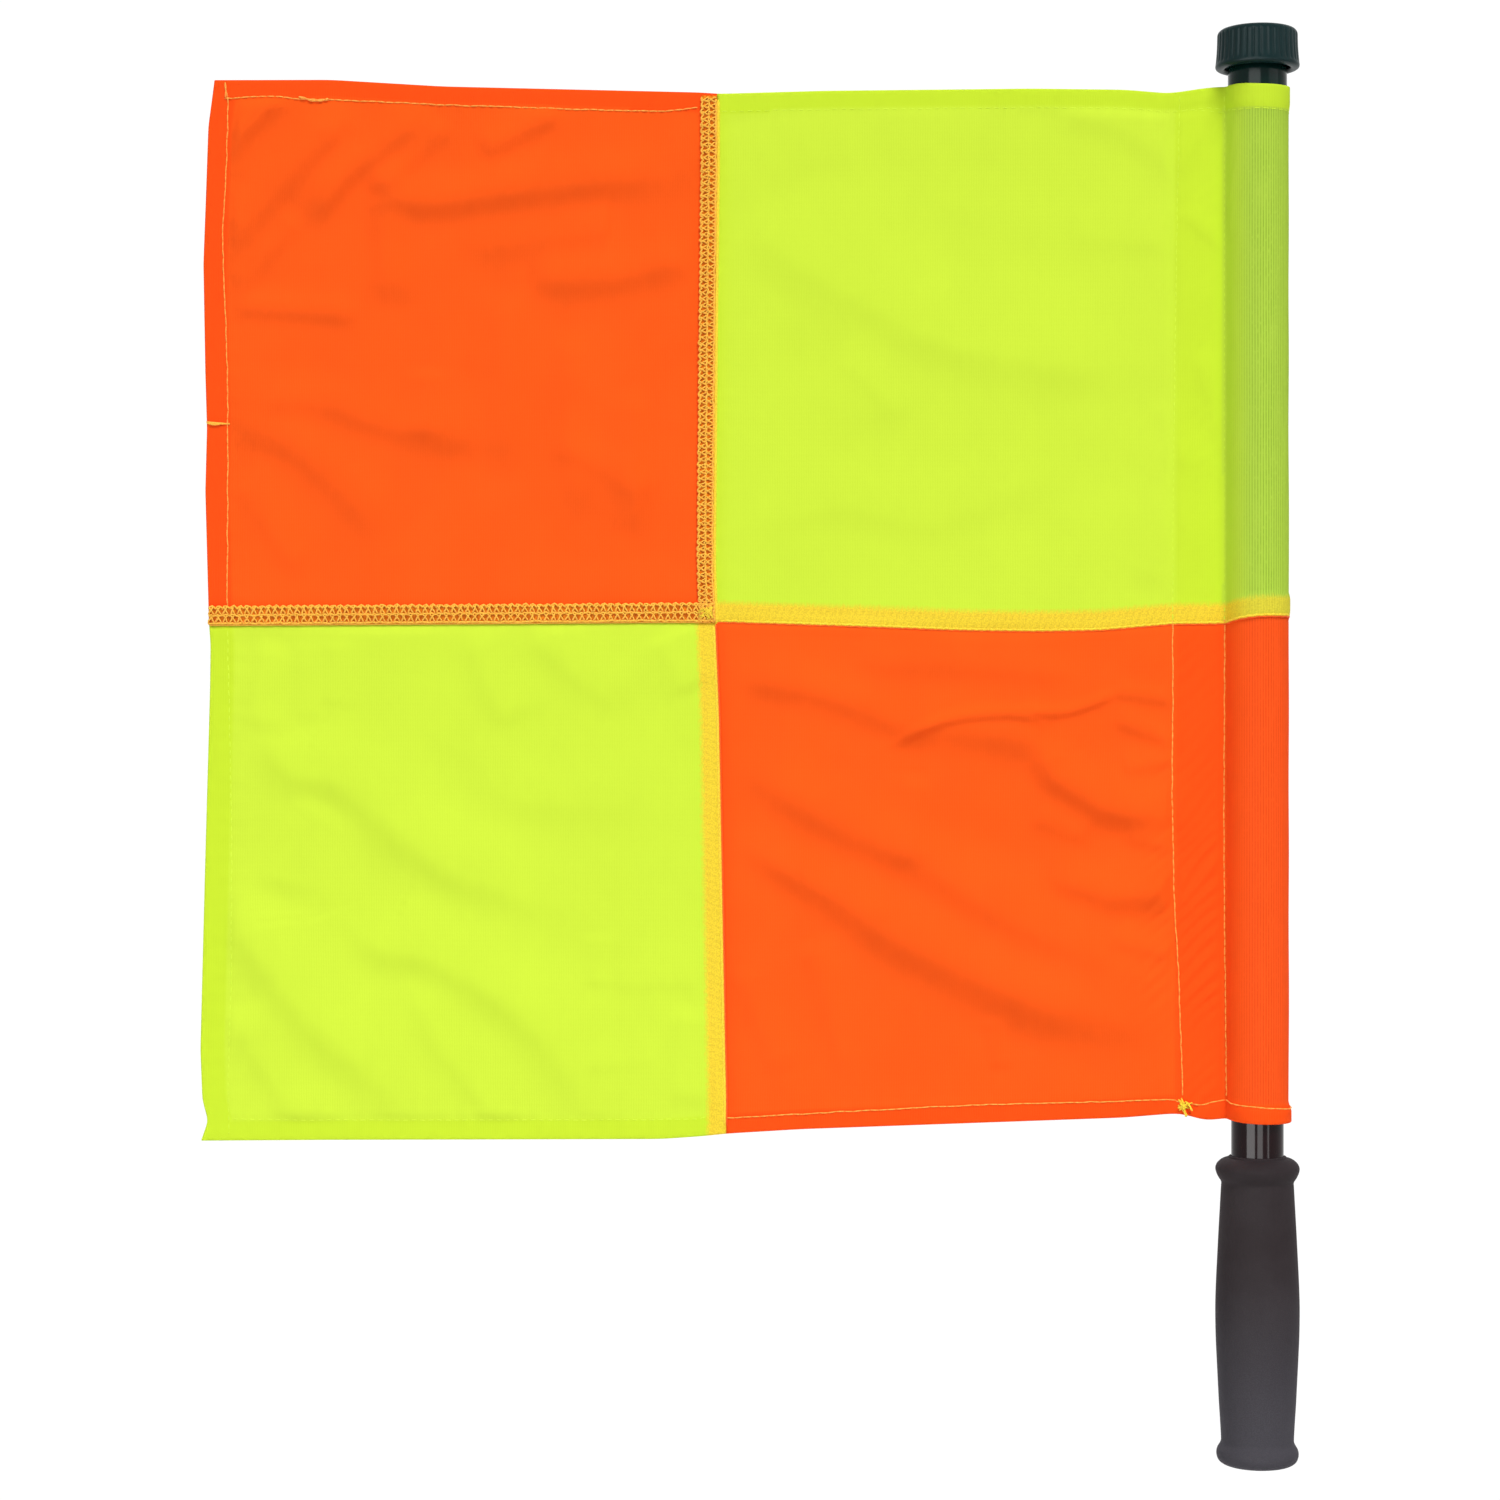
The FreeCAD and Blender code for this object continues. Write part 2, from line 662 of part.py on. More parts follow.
def make_threads():
    hem_line = S.hem_width - S.thread_width
    fly_line = S.fly_hem_width - S.thread_width * 2 - S.fly_reach
    hoop_meet = -across(sleeve_radius + S.layer_gap + S.thread_thick / 2, thread_front)
    flap_line = -S.flap_seam_reach
    pole_line = -S.sleeve_seam_reach
    fly_hem = make_thread("fly_hem_stitch", [(fly_line, fly_bottom), (fly_line, fly_top)])
    top_hem = make_thread(
        "top_hem_stitch",
        [
            (-S.fly_reach, fly_top - hem_line),
            (-S.seam_reach, seam_top - hem_line),
            (-S.flap_reach, hoist_top - hem_line),
            (hoop_meet, hoist_top - hem_line),
        ],
    )
    document.recompute()
    add_thread_round_sleeve(top_hem, hoist_top - hem_line)
    bottom_hem = make_thread(
        "bottom_hem_stitch",
        [
            (-S.fly_reach, fly_bottom + hem_line),
            (-S.seam_reach, seam_bottom + hem_line),
            (-S.flap_reach, hoist_bottom + hem_line),
            (hoop_meet, hoist_bottom + hem_line),
        ],
    )
    document.recompute()
    add_thread_round_sleeve(bottom_hem, hoist_bottom + hem_line)
    thread_low = hoist_bottom + S.hem_width + S.thread_width
    thread_high = hoist_top - S.hem_width - S.thread_width
    flap = make_thread("sleeve_flap_stitch", [(flap_line, thread_low), (flap_line, thread_high)])
    pole = make_thread("sleeve_pole_stitch", [(pole_line, thread_low), (pole_line, thread_high)])
    tack_base = hoist_bottom + S.layer_gap
    tack = flat_strip(
        "sleeve_bar_tack",
        [
            (flap_line + S.thread_width, tack_base),
            (flap_line + S.thread_width + S.tack_width, tack_base),
            (flap_line + S.thread_width + S.tack_width, tack_base + S.tack_height),
            (flap_line + S.thread_width, tack_base + S.tack_height),
        ],
        thread_front,
        S.thread_thick,
    )
    fly_tack_height = cross_height + S.fly_tack_rise
    cross = make_thread(
        "fly_hem_tack",
        [
            (-S.fly_reach, fly_tack_height),
            (fly_line - S.thread_width, fly_tack_height),
        ],
    )
    return [fly_hem, top_hem, bottom_hem, flap, pole, tack, cross]


pieces = [
    ring("inner_tube", S.pole_radius, tube_bore, tube_base, tube_top - tube_base),
    make_grip(),
    make_end_plug(),
    make_cap_bush(),
    ring("stop_collar", spinner_radius, S.pole_radius + S.fit_gap, collar_base, S.collar_height),
    ring("cap_washer", S.washer_radius, S.screw_radius + S.spin_gap, washer_base, S.washer_thick),
    make_cap(),
    ring("outer_tube", spinner_radius, spinner_bore, spinner_base, spinner_top - spinner_base),
]
pieces += make_panels()
pieces += make_seams()
pieces += make_threads()
document.recompute()

for item in document.Objects:
    if "Invalid" in item.State or "Error" in item.State:
        raise RuntimeError(f"{item.Name} is {item.State}")
for piece in pieces:
    if piece.Shape.isNull() or not piece.Shape.isValid():
        raise RuntimeError(f"{piece.Label} has no sound shape")
    if len(piece.Shape.Solids) != 1:
        raise RuntimeError(f"{piece.Label} has {len(piece.Shape.Solids)} solids")

os.makedirs("parts", exist_ok=True)
for piece in pieces:
    piece.Shape.exportStep(f"parts/{piece.Label}.step")
    print(piece.Label, round(piece.Shape.Volume, 1))
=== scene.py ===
"""The looks of a hand-held linesman flag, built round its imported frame.

Sizes are in millimetres in the frame's own axes: the origin lies on the pole's axis at the hand, +Z
runs up the pole to the cap, the cloth reaches towards -X and its front faces -Y. A place on the cloth
is (u, z): u runs along the cloth's section from the fly edge to the tube, once round the tube and back
along the sleeve's rear flap, and equals X as long as the cloth is flat.
"""

import math

import bmesh
import bpy
import numpy as np
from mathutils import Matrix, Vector


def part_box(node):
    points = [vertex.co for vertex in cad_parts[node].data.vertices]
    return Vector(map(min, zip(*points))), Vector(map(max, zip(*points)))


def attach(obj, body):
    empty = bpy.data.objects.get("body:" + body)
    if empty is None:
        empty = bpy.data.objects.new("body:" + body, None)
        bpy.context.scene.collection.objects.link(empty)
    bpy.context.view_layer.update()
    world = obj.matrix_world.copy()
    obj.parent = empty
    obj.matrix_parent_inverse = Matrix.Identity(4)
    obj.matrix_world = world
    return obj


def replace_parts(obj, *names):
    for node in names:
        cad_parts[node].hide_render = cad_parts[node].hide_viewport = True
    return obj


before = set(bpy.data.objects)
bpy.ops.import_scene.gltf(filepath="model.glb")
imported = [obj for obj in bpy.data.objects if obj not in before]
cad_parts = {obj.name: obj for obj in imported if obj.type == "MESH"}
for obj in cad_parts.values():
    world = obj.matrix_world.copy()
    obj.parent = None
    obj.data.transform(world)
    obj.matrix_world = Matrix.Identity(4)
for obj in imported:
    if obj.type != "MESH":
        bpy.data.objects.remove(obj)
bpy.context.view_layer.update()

MM = 0.001
TURN = 2 * math.pi

# The cloth and how it is sewn
CLOTH = 0.4  # thickness of one layer
STEP = 1.25  # spacing of the cloth's grid
LAYER = 0.55  # from the middle of one sewn layer to the next
HEM = 6.6  # turned-in width of the top and bottom hems
FLY_HEM = 8.4  # turned-in width of the hem along the fly edge
SLEEVE_HEM_MORE = 2.4  # how much wider the top hem is over the tube
HEM_ROUND = LAYER / 2  # radius of a hem's folded edge
TAIL = 6.75  # width of an overlocked seam tail
TAIL_THICK = 0.5  # thickness of the two cut edges in a tail
FLAP_EDGE = 31.5  # rear flap of the sleeve, from the pole's axis

FLAP_STITCH = -31  # u of the stitch line along the rear flap's edge
POLE_STITCH = -12  # u of the stitch line close along the tube
QUARTER_HEIGHT = 193.0  # of every quarter, for the number of its samples
FLY_WIDTH = 186.0  # of the two quarters at the fly, for the same
SEAM_TO_POLE = 197.5  # from the middle seam to the pole's axis
CENTRE = (-200, 260)  # a place near the corner that the four quarters share

# The sleeve's section round the tube
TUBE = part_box("outer_tube")[1].x / MM
SLEEVE = TUBE + CLOTH  # radius of the middle of the sleeve's cloth
NECK_ROUND = 1.5  # hollow rounding where the cloth leaves the tube
HALF_GAP = 0.3  # half the distance between the sleeve's two layers beside the tube
FLAP_INSIDE = 0.7  # how far the rear flap's ends stay inside the front layer's

# Where the cloth leaves the flat for the tube, and where it lies flat again behind the front layer
ROUND_REACH = SLEEVE + NECK_ROUND
ROUND_SINK = HALF_GAP + NECK_ROUND
ROUND_START = math.asin(ROUND_SINK / ROUND_REACH)
WRAP_START = -math.sqrt(ROUND_REACH**2 - ROUND_SINK**2)
WRAP_LENGTH = 2 * NECK_ROUND * (math.pi / 2 - ROUND_START) + SLEEVE * (TURN - 2 * ROUND_START)
WRAP_END = WRAP_START + WRAP_LENGTH
FLAP_END = WRAP_END + FLAP_EDGE + WRAP_START
ON_TUBE = (-12.4, WRAP_END - 1)  # from where to where the cloth lies on the tube

# The edges and seams of the flat cloth, as the photo shows them: upright ones as (z, u), level ones
# as (u, z).
FLY_EDGE = (
    (65.6, -385.1), (72.2, -382.8), (80, -384.9), (98, -385.6), (165, -383.9), (229.9, -382.1),
    (246, -381.9), (254, -382.5), (302, -383.8), (325, -383.2), (345, -383.8), (385, -384.5),
    (409, -383.6), (435, -382.7), (452.3, -380.4),
)
MIDDLE_SEAM = (
    (68.2, -193.9), (80, -193.7), (102, -194.2), (200, -196), (222, -196.4), (254.7, -197.8),
    (275, -198.6), (360, -197.9), (420, -197.2), (447.3, -197.2),
)
CROSS_SEAM = (
    (-382.5, 253.6), (-290, 254.2), (-218, 254.7), (-197.6, 254.7), (-145, 253), (-108.6, 251.6),
    (-81.2, 251.2), (-57.5, 251.6), (-31.2, 253.9), (-12, 254), (3, 256.4), (20, 256.6), (60, 254),
)
TOP_EDGE = (
    (-380.4, 452.3), (-338.5, 452.4), (-298, 450), (-203.9, 447.8), (-197.2, 447.3), (-158.6, 448.4),
    (-83, 449.2), (-48.7, 448.8), (-32.3, 447.4), (-18.4, 449.5), (-12.2, 449.8), (-5, 449.6), (5, 448.7),
    (16, 448.9), (24, 449.9), (34, 449.6), (60, 449.2),
)
BOTTOM_EDGE = (
    (-385.1, 65.6), (-338.5, 65.9), (-218, 66.2), (-202.4, 67.3), (-193.9, 68.2), (-167, 69.8),
    (-49.8, 74), (-29, 75.7), (-18.8, 72.9), (-12.6, 74), (-3, 73.2), (6, 72.7), (22, 72.6), (60, 73),
)

# The folds: steepness of the shaded side, width at the start and at the end, and the (u, z) points of
# the line along which the shaded side is steepest. The ridge lies to the left of the line's own way.
ORANGE_FOLDS = (
    # Upper quarter
    (0.5, 4, 4, ((-381, 417), (-366, 434), (-352, 448))),
    (0.4, 5, 5, ((-376, 386), (-360, 404), (-345, 422), (-325, 440))),
    (0.28, 4, 4, ((-372, 372), (-346, 403))),
    (0.5, 4, 5, ((-346, 396), (-331, 415), (-318, 425), (-298, 440))),
    (0.32, 4, 4, ((-322, 408), (-292, 436))),
    (0.4, 4, 4, ((-284, 423), (-252, 439))),
    (0.42, 5, 6.5, ((-329, 412), (-316, 408), (-304, 404), (-277, 407), (-244, 411), (-205, 415))),
    (0.32, 4.5, 5, ((-323, 412), (-321.5, 395), (-320, 368))),
    (0.35, 3.5, 4, ((-378, 368), (-351, 366), (-325, 364))),
    (0.27, 5, 5.5, ((-378, 333), (-345, 332), (-327, 326), (-307, 320), (-275, 317))),
    (0.28, 6, 7, ((-380, 327), (-357, 317), (-342, 306), (-320, 281))),
    (0.2, 5, 5, ((-376, 306), (-364, 290), (-350, 268))),
    (0.2, 6, 6, ((-292, 386), (-247, 393), (-235, 394))),
    (0.32, 6, 6, ((-268, 377), (-241, 376), (-201, 384))),
    (0.26, 5, 5, ((-270, 306), (-270, 345), (-269, 378))),
    (0.22, 6, 6, ((-255, 364), (-254, 330), (-252, 290))),
    (0.2, 5, 5, ((-300, 320), (-298, 348))),
    (0.26, 5, 5, ((-224, 284), (-225, 342))),
    (0.2, 5, 5, ((-262, 318), (-240, 308), (-222, 295))),
    # Lower quarter
    (0.36, 5, 5.5, ((-196, 232), (-162, 226), (-143, 219), (-118, 209))),
    (0.2, 5, 5, ((-152, 237), (-107, 236), (-62, 232))),
    (0.9, 1.2, 2, ((-136, 206.5), (-122, 214.8), (-107, 219), (-89, 220), (-77, 217))),
    (0.8, 1.5, 1.5, ((-88, 223), (-77, 220.5), (-65, 222), (-48, 229))),
    (0.3, 7, 7, ((-131, 213), (-104, 211), (-76, 205))),
    (0.55, 5, 6.5, ((-82, 216), (-79, 199), (-68, 190), (-52, 182), (-20, 179))),
    (0.5, 5, 6.5, ((-80, 160), (-62, 154), (-50, 151), (-24, 154))),
    (0.4, 7, 9, ((-197, 205), (-175, 189), (-157, 178), (-119, 159), (-95, 144), (-74, 134), (-24, 112))),
    (0.5, 5, 12, ((-196, 174), (-175, 162), (-155, 150), (-134, 135), (-104, 120), (-74, 107), (-22, 99))),
    (0.25, 4, 4, ((-84, 182), (-62, 173))),
    (0.25, 5, 5, ((-193, 130), (-176, 87))),
    (0.25, 5, 5, ((-168, 138), (-160, 118), (-152, 82))),
    (0.22, 3, 3, ((-100, 111), (-96, 90))),
    (0.24, 4.5, 4.5, ((-124, 164), (-121, 200))),
    (0.4, 3, 3, ((-54, 218), (-28, 208))),
    (0.4, 2.5, 2.5, ((-54, 228), (-28, 224))),
    (0.3, 3, 3, ((-50, 199), (-28, 203))),
    (0.3, 3, 3, ((-50, 175), (-28, 170))),
    (0.32, 3.5, 3.5, ((-56, 138), (-28, 130))),
)
YELLOW_FOLDS = (
    # Upper quarter
    (0.125, 9, 10, ((-194, 402), (-175, 384), (-143, 365), (-122, 354), (-98, 347), (-68, 342), (-28, 344))),
    (0.08, 6, 6, ((-194, 283), (-172, 290), (-149, 293), (-122, 287), (-104, 292), (-89, 298), (-66, 314))),
    (0.13, 6, 6, ((-78, 438), (-54, 433), (-39, 423), (-26, 414))),
    (0.07, 5, 5, ((-72, 393), (-29, 389))),
    (0.05, 6, 6, ((-182, 412), (-162, 420), (-142, 424))),
    (0.08, 5, 5, ((-156, 348), (-143, 340), (-132, 325))),
    (0.1, 6, 6, ((-33, 328), (-40, 292), (-48, 266))),
    (0.2, 2, 2, ((-30, 404), (-19, 395), (-9, 386))),
    (0.16, 2.5, 2.5, ((-24, 354), (-18, 335), (-14, 316))),
    (0.12, 3, 3, ((-37, 336), (-32, 308))),
    # Lower quarter
    (0.2, 4, 4, ((-362, 250), (-367, 232), (-370, 214))),
    (0.23, 7, 9, ((-371, 224), (-361, 204), (-351, 194), (-336, 191), (-307, 166), (-286, 155), (-240, 140))),
    (0.14, 6, 6, ((-347, 194), (-357, 177), (-364, 155))),
    (0.27, 8, 10, ((-374, 164), (-372, 138), (-363, 123), (-348, 105), (-333, 91), (-302, 62))),
    (0.23, 6.5, 8, ((-341, 150), (-322, 132), (-307, 129), (-292, 122), (-274, 110), (-259, 94), (-236, 58))),
    (0.18, 5, 5, ((-312, 126), (-304, 103), (-292, 88), (-270, 58))),
    (0.2, 6, 6, ((-379, 112), (-363, 88), (-343, 56))),
    (0.15, 5, 5, ((-291, 251), (-283, 230), (-274, 214))),
    (0.15, 6, 6, ((-268, 250), (-253, 235), (-234, 219))),
    (0.13, 6, 6, ((-222, 249), (-210, 226))),
    (0.13, 3.5, 3.5, ((-351, 250), (-350, 216))),
    (0.13, 3.5, 3.5, ((-338, 250), (-340, 222))),
    (0.08, 8, 8, ((-320, 220), (-292, 204), (-277, 188), (-256, 184), (-206, 184))),
    (0.13, 3, 3, ((-244, 142), (-244, 120))),
    (0.1, 4, 4, ((-236, 120), (-202, 122))),
    (0.13, 5, 5, ((-213, 116), (-213, 76))),
    (0.1, 4, 4, ((-245, 90), (-217, 94))),
)
SLEEVE_FOLDS = (
    (0.22, 1.1, 1.1, ((-9.2, 404), (-6, 413), (-1, 430))),
    (0.22, 1, 1, ((-9.4, 414), (-6.6, 424), (-3, 436))),
    (0.16, 1, 1, ((-9.4, 392), (-7, 400), (-3, 410))),
)
# How much wider a fold is on its lit side
FREE_SETS = ((ORANGE_FOLDS, 1.6), (YELLOW_FOLDS, 2.4))
SLEEVE_SETS = ((SLEEVE_FOLDS, 1.6),)

# Where folds die out: the stiff, sewn borders and how far from them the cloth is free again
BORDER_EASE = 4
PUCKER = 0.9  # rise of the small puckers between the sleeve's two stitch lines
PUCKER_PITCH = 6.2
PUCKER_STRENGTH = (  # (z, share of the full rise)
    (80, 0.35), (104, 0.45), (120, 1), (172, 1), (192, 0.45), (240, 0.4), (252, 0.1), (440, 0.15),
)
RIPPLE = 0.05  # rise of the ripples that the stitching draws up along hems and seams
RIPPLE_PITCH = 7.3


def eased(points, ease=3.0, step=0.5):
    """A broken line as a table of even steps with its corners rounded by two running means."""
    at, value = np.array(points, float).T
    reach = 4 * ease
    table = np.arange(at[0] - reach, at[-1] + reach, step)
    line = np.interp(table, at, value)
    line += (table - at[0]).clip(max=0) * (value[1] - value[0]) / (at[1] - at[0])
    weights = np.ones(max(1, int(ease / step)))
    weights /= weights.sum()
    for _ in range(2):
        padded = np.pad(line, len(weights), mode="edge")
        line = np.convolve(padded, weights, "same")[len(weights) : -len(weights)]
    return table, line


EDGES = {
    "fly": eased(FLY_EDGE), "middle": eased(MIDDLE_SEAM, 8), "cross": eased(CROSS_SEAM, 6),
    "top": eased(TOP_EDGE, 6), "bottom": eased(BOTTOM_EDGE, 6),
}


def edge(name, where):
    """Where an edge or seam runs: u at height z for fly and middle, z at place u for the others. Behind
    the tube a level edge runs back under its own front part, a little inside it."""
    if name in ("fly", "middle"):
        return np.interp(where, *EDGES[name])
    over = np.clip(where - WRAP_END, 0, None)
    inside = {"top": -FLAP_INSIDE, "bottom": FLAP_INSIDE}.get(name, 0) * ease_in(over / 4 + 0.5)
    front = np.interp(WRAP_START - over, *EDGES[name]) + inside
    share = ease_in((where - WRAP_END + 22) / 24)
    return np.interp(where, *EDGES[name]) * (1 - share) + front * share


def ease_in(t):
    """0 below 0, 1 above 1, and a smooth cubic between."""
    t = np.clip(t, 0, 1)
    return t * t * (3 - 2 * t)


def line_through(points, spans):
    """A smooth line through points: on each span a cubic that leaves along its neighbours' chord."""
    p = np.array(points, float)
    before = np.vstack([2 * p[0] - p[1], p[:-1]])
    after = np.vstack([p[1:], 2 * p[-1] - p[-2]])
    slope = (after - before) / 2
    t = np.linspace(0, 1, spans, endpoint=False)[None, :, None]
    a, b, va, vb = p[:-1, None], p[1:, None], slope[:-1, None], slope[1:, None]
    cubic = a + va * t + (3 * (b - a) - 2 * va - vb) * t**2 + (2 * (a - b) + va + vb) * t**3
    return np.vstack([cubic.reshape(-1, p.shape[1]), p[-1:]])


def even_steps(line, step):
    """The same line with its points at even steps of its own length."""
    run = np.r_[0, np.cumsum(np.linalg.norm(np.diff(line, axis=0), axis=1))]
    count = max(2, int(round(run[-1] / step)) + 1)
    at = np.linspace(0, run[-1], count)
    return np.stack([np.interp(at, run, column) for column in line.T], 1)


def soft_noise(u, z, size, seed):
    """Smooth hills and hollows from -1 to 1: the sum of seven slow waves of about that size."""
    draw = np.random.default_rng(seed)
    angle, phase = draw.uniform(0, TURN, 7), draw.uniform(0, TURN, 7)
    wave = TURN / (size * draw.uniform(0.7, 1.5, 7))
    total = 0
    for a, p, w in zip(angle, phase, wave):
        total = total + np.sin(w * (u * math.cos(a) + z * math.sin(a)) + p)
    return total / 7**0.5 / 1.4


def one_fold(u, z, height, steepness, first_width, last_width, lit_share, points):
    """Adds a ridge beside its line to the height: it falls off with the square of the distance from
    the crest in an exponential, more slowly on its lit side, and dies out towards the line's ends."""
    line = line_through(points, 5)
    reach = 2.2 * max(first_width, last_width) * lit_share
    low, high = line.min(0) - reach, line.max(0) + reach
    near = (u > low[0]) & (u < high[0]) & (z > low[1]) & (z < high[1])
    here = np.stack([u[near], z[near]], 1)
    start, along = line[:-1], np.diff(line, axis=0)
    away = here[:, None] - start
    share = np.clip((away * along).sum(2) / (along**2).sum(1), 0, 1)
    off = away - share[..., None] * along
    distance = np.linalg.norm(off, axis=2)
    closest = distance.argmin(1)
    pick = np.arange(len(here)), closest
    gap, way = off[pick], along[closest]
    side = np.sign(way[:, 0] * gap[:, 1] - way[:, 1] * gap[:, 0])
    run = (closest + share[pick]) / len(along)
    width = first_width + (last_width - first_width) * run
    from_crest = side * distance[pick] - 0.7 * width
    fade = ease_in(run / 0.2) * ease_in((1 - run) / 0.2)
    spread = width * np.where(from_crest > 0, lit_share, 1)
    height[near] += 1.16 * steepness * width * fade * np.exp(-((from_crest / spread) ** 2))


def fold_height(u, z, sets):
    """All the folds of some sets together."""
    height = np.zeros_like(u)
    for folds, lit_share in sets:
        for steepness, first_width, last_width, points in folds:
            one_fold(u, z, height, steepness, first_width, last_width, lit_share, points)
    return height


def free_share(u, z):
    """0 on the sewn borders and 1 in the free cloth, by the distance to the nearest hem or seam."""
    gaps = (
        u - edge("fly", z) - FLY_HEM, np.abs(u - edge("middle", z)) - 1,
        np.abs(z - edge("cross", u)) - 1, edge("top", u) - HEM - z, z - edge("bottom", u) - HEM,
        1.3 * np.abs(u + FLAP_EDGE - 0.7) - 0.6, 1.3 * (POLE_STITCH - 1 - u),
    )
    return ease_in(np.minimum.reduce(gaps) / BORDER_EASE + 0.15)


def top_hem(u):
    """Width of the top hem, which is sewn wider over the tube."""
    return HEM + SLEEVE_HEM_MORE * ease_in((u + 14) / 5) * ease_in((WRAP_END + 2 - u) / 5)


def ripple_height(u, z):
    """Short ripples across the stitching, which die out a few millimetres from it."""
    along_fly = np.sin(TURN * z / RIPPLE_PITCH + 2 * soft_noise(u, z, 30, 3))
    along_hem = np.sin(TURN * u / RIPPLE_PITCH + 2 * soft_noise(u, z, 30, 4))
    fly = np.exp(-(((u - edge("fly", z) - FLY_HEM) / 6) ** 2))
    top = np.exp(-(((edge("top", u) - HEM - z) / 6) ** 2))
    bottom = np.exp(-(((z - edge("bottom", u) - HEM) / 6) ** 2))
    middle = np.exp(-(((u - edge("middle", z)) / 7) ** 2))
    ripples = along_fly * (fly + 0.7 * middle) + along_hem * (top + bottom)
    return RIPPLE * ripples * (u < -FLAP_EDGE - 2)


def pucker_height(u, z):
    """The strip between the sleeve's two stitch lines gathers in slanting ridges, most in the orange:
    half a sine wave lifted above nought and sharpened, its phase and strength wandering a little."""
    strip = ease_in((u - FLAP_STITCH) / 4) * ease_in((POLE_STITCH - 1 - u) / 4)
    left = 0.5 * np.exp(-(((u - FLAP_STITCH + 5) / 7) ** 2)) * (u < FLAP_STITCH + 2)
    slant = TURN * (z - u) / PUCKER_PITCH + 2.2 * soft_noise(u, z, 22, 8)
    ridge = (0.5 + 0.5 * np.sin(slant)) ** 1.5
    strength = np.interp(z, *np.array(PUCKER_STRENGTH).T)
    strength = strength * (1 + 0.5 * soft_noise(u, z, 30, 9))
    return PUCKER * ridge * (strip + left) * strength


def seam_dip(u, z):
    """The cloth sinks a little where two quarters meet, in a groove that falls off as a bell curve."""
    flat = u < -FLAP_EDGE
    middle = np.exp(-(((u - edge("middle", z)) / 1.3) ** 2)) * flat
    cross = np.exp(-(((z - edge("cross", u)) / 1.3) ** 2))
    return -0.25 * np.maximum(middle, cross)


def sleeve_swell(u, z):
    """The sleeve stands further out over its two hems and over the cross seam's tail."""
    on_sleeve = ease_in((u + 36) / 8)
    round_front = ease_in((u + 8) / 8) * ease_in((60 - u) / 8)
    top = ease_in((z - edge("top", u) + top_hem(u) + 1) / 4) * 0.45
    bottom = ease_in((edge("bottom", u) + HEM + 1 - z) / 4) * (0.5 + 0.6 * round_front)
    above = z - edge("cross", u)
    cross = ease_in(above / 1.5 + 1) * ease_in((TAIL + 2 - above) / 2) * (0.12 + 0.45 * round_front)
    wrinkle = 0.1 * soft_noise(u * 0.4, z, 40, 5) * round_front
    return on_sleeve * (top + bottom + cross) + wrinkle + fold_height(u, z, SLEEVE_SETS)


def cloth_lift(u, z):
    """How far the cloth's middle stands out of its plain section, towards its outer side."""
    flat = np.where(u < POLE_STITCH, 1.0, 0.0)
    drift = 0.35 * soft_noise(u, z, 110, 1) + 0.12 * soft_noise(u, z, 30, 2)
    folds = (fold_height(u, z, FREE_SETS) + drift) * free_share(u, z) * flat
    return folds + ripple_height(u, z) + pucker_height(u, z) + seam_dip(u, z) + sleeve_swell(u, z)


def section(u):
    """The plain section: flat, a hollow rounding, once round the tube, a second rounding and flat
    again behind. Gives X, Y and the outward normal."""
    sink, centre, start = ROUND_SINK, WRAP_START, ROUND_START
    sweep = math.pi / 2 - start
    first = NECK_ROUND * sweep
    second = WRAP_LENGTH - first
    s = u - centre
    front_turn = np.clip(s / NECK_ROUND, 0, sweep)
    ring_turn = start + np.clip((s - first) / SLEEVE, 0, TURN - 2 * start)
    back_turn = sweep - np.clip((s - second) / NECK_ROUND, 0, sweep)
    beyond = np.clip(s - second - first, 0, None)
    spans = [s <= 0, s <= first, s <= second, s <= second + first]
    x = np.select(
        spans,
        [u, centre + NECK_ROUND * np.sin(front_turn), -SLEEVE * np.cos(ring_turn),
         centre + NECK_ROUND * np.sin(back_turn)],
        centre - beyond,
    )
    y = np.select(
        spans,
        [-HALF_GAP + 0 * u, -sink + NECK_ROUND * np.cos(front_turn), -SLEEVE * np.sin(ring_turn),
         sink - NECK_ROUND * np.cos(back_turn)],
        HALF_GAP + 0 * u,
    )
    out_x = np.select(spans, [0 * u, -np.sin(front_turn), -np.cos(ring_turn), -np.sin(back_turn)], 0 * u)
    out_y = np.select(
        spans, [-1 + 0 * u, -np.cos(front_turn), -np.sin(ring_turn), np.cos(back_turn)], 1 + 0 * u
    )
    return x, y, out_x, out_y


def place(u, z, out):
    """The point in space, in metres, of a place on the cloth, lifted by out from the middle of it."""
    u, z = np.broadcast_arrays(np.asarray(u, float), np.asarray(z, float))
    x, y, out_x, out_y = section(u)
    lift = cloth_lift(u, z) + out
    return np.stack([x + out_x * lift, y + out_y * lift, z], -1) * MM


def turned(length, hem, steps):
    """Samples across a hemmed sheet: the place of each, measured from the folded edge inwards, and its
    depth behind the sheet. The sheet runs to the edge, turns on a half circle and comes back."""
    flat = np.linspace(length, HEM_ROUND, steps)
    around = np.linspace(0, math.pi, 6)[1:]
    back = np.linspace(HEM_ROUND, hem, max(3, int(hem / STEP)))[1:]
    inward = np.r_[flat, HEM_ROUND - HEM_ROUND * np.sin(around), back]
    depth = np.r_[0 * flat, HEM_ROUND - HEM_ROUND * np.cos(around), LAYER + 0 * back]
    return inward, depth


def new_mesh(name, points, faces, material, body):
    """An object at the origin from points (n, 3) and a list or array of faces, riding on a body."""
    mesh = bpy.data.meshes.new(name)
    mesh.from_pydata(points.tolist(), [], faces if isinstance(faces, list) else faces.tolist())
    mesh.shade_smooth()
    piece = bpy.data.objects.new(name, mesh)
    bpy.context.scene.collection.objects.link(piece)
    mesh.materials.append(material)
    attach(piece, body)
    return piece


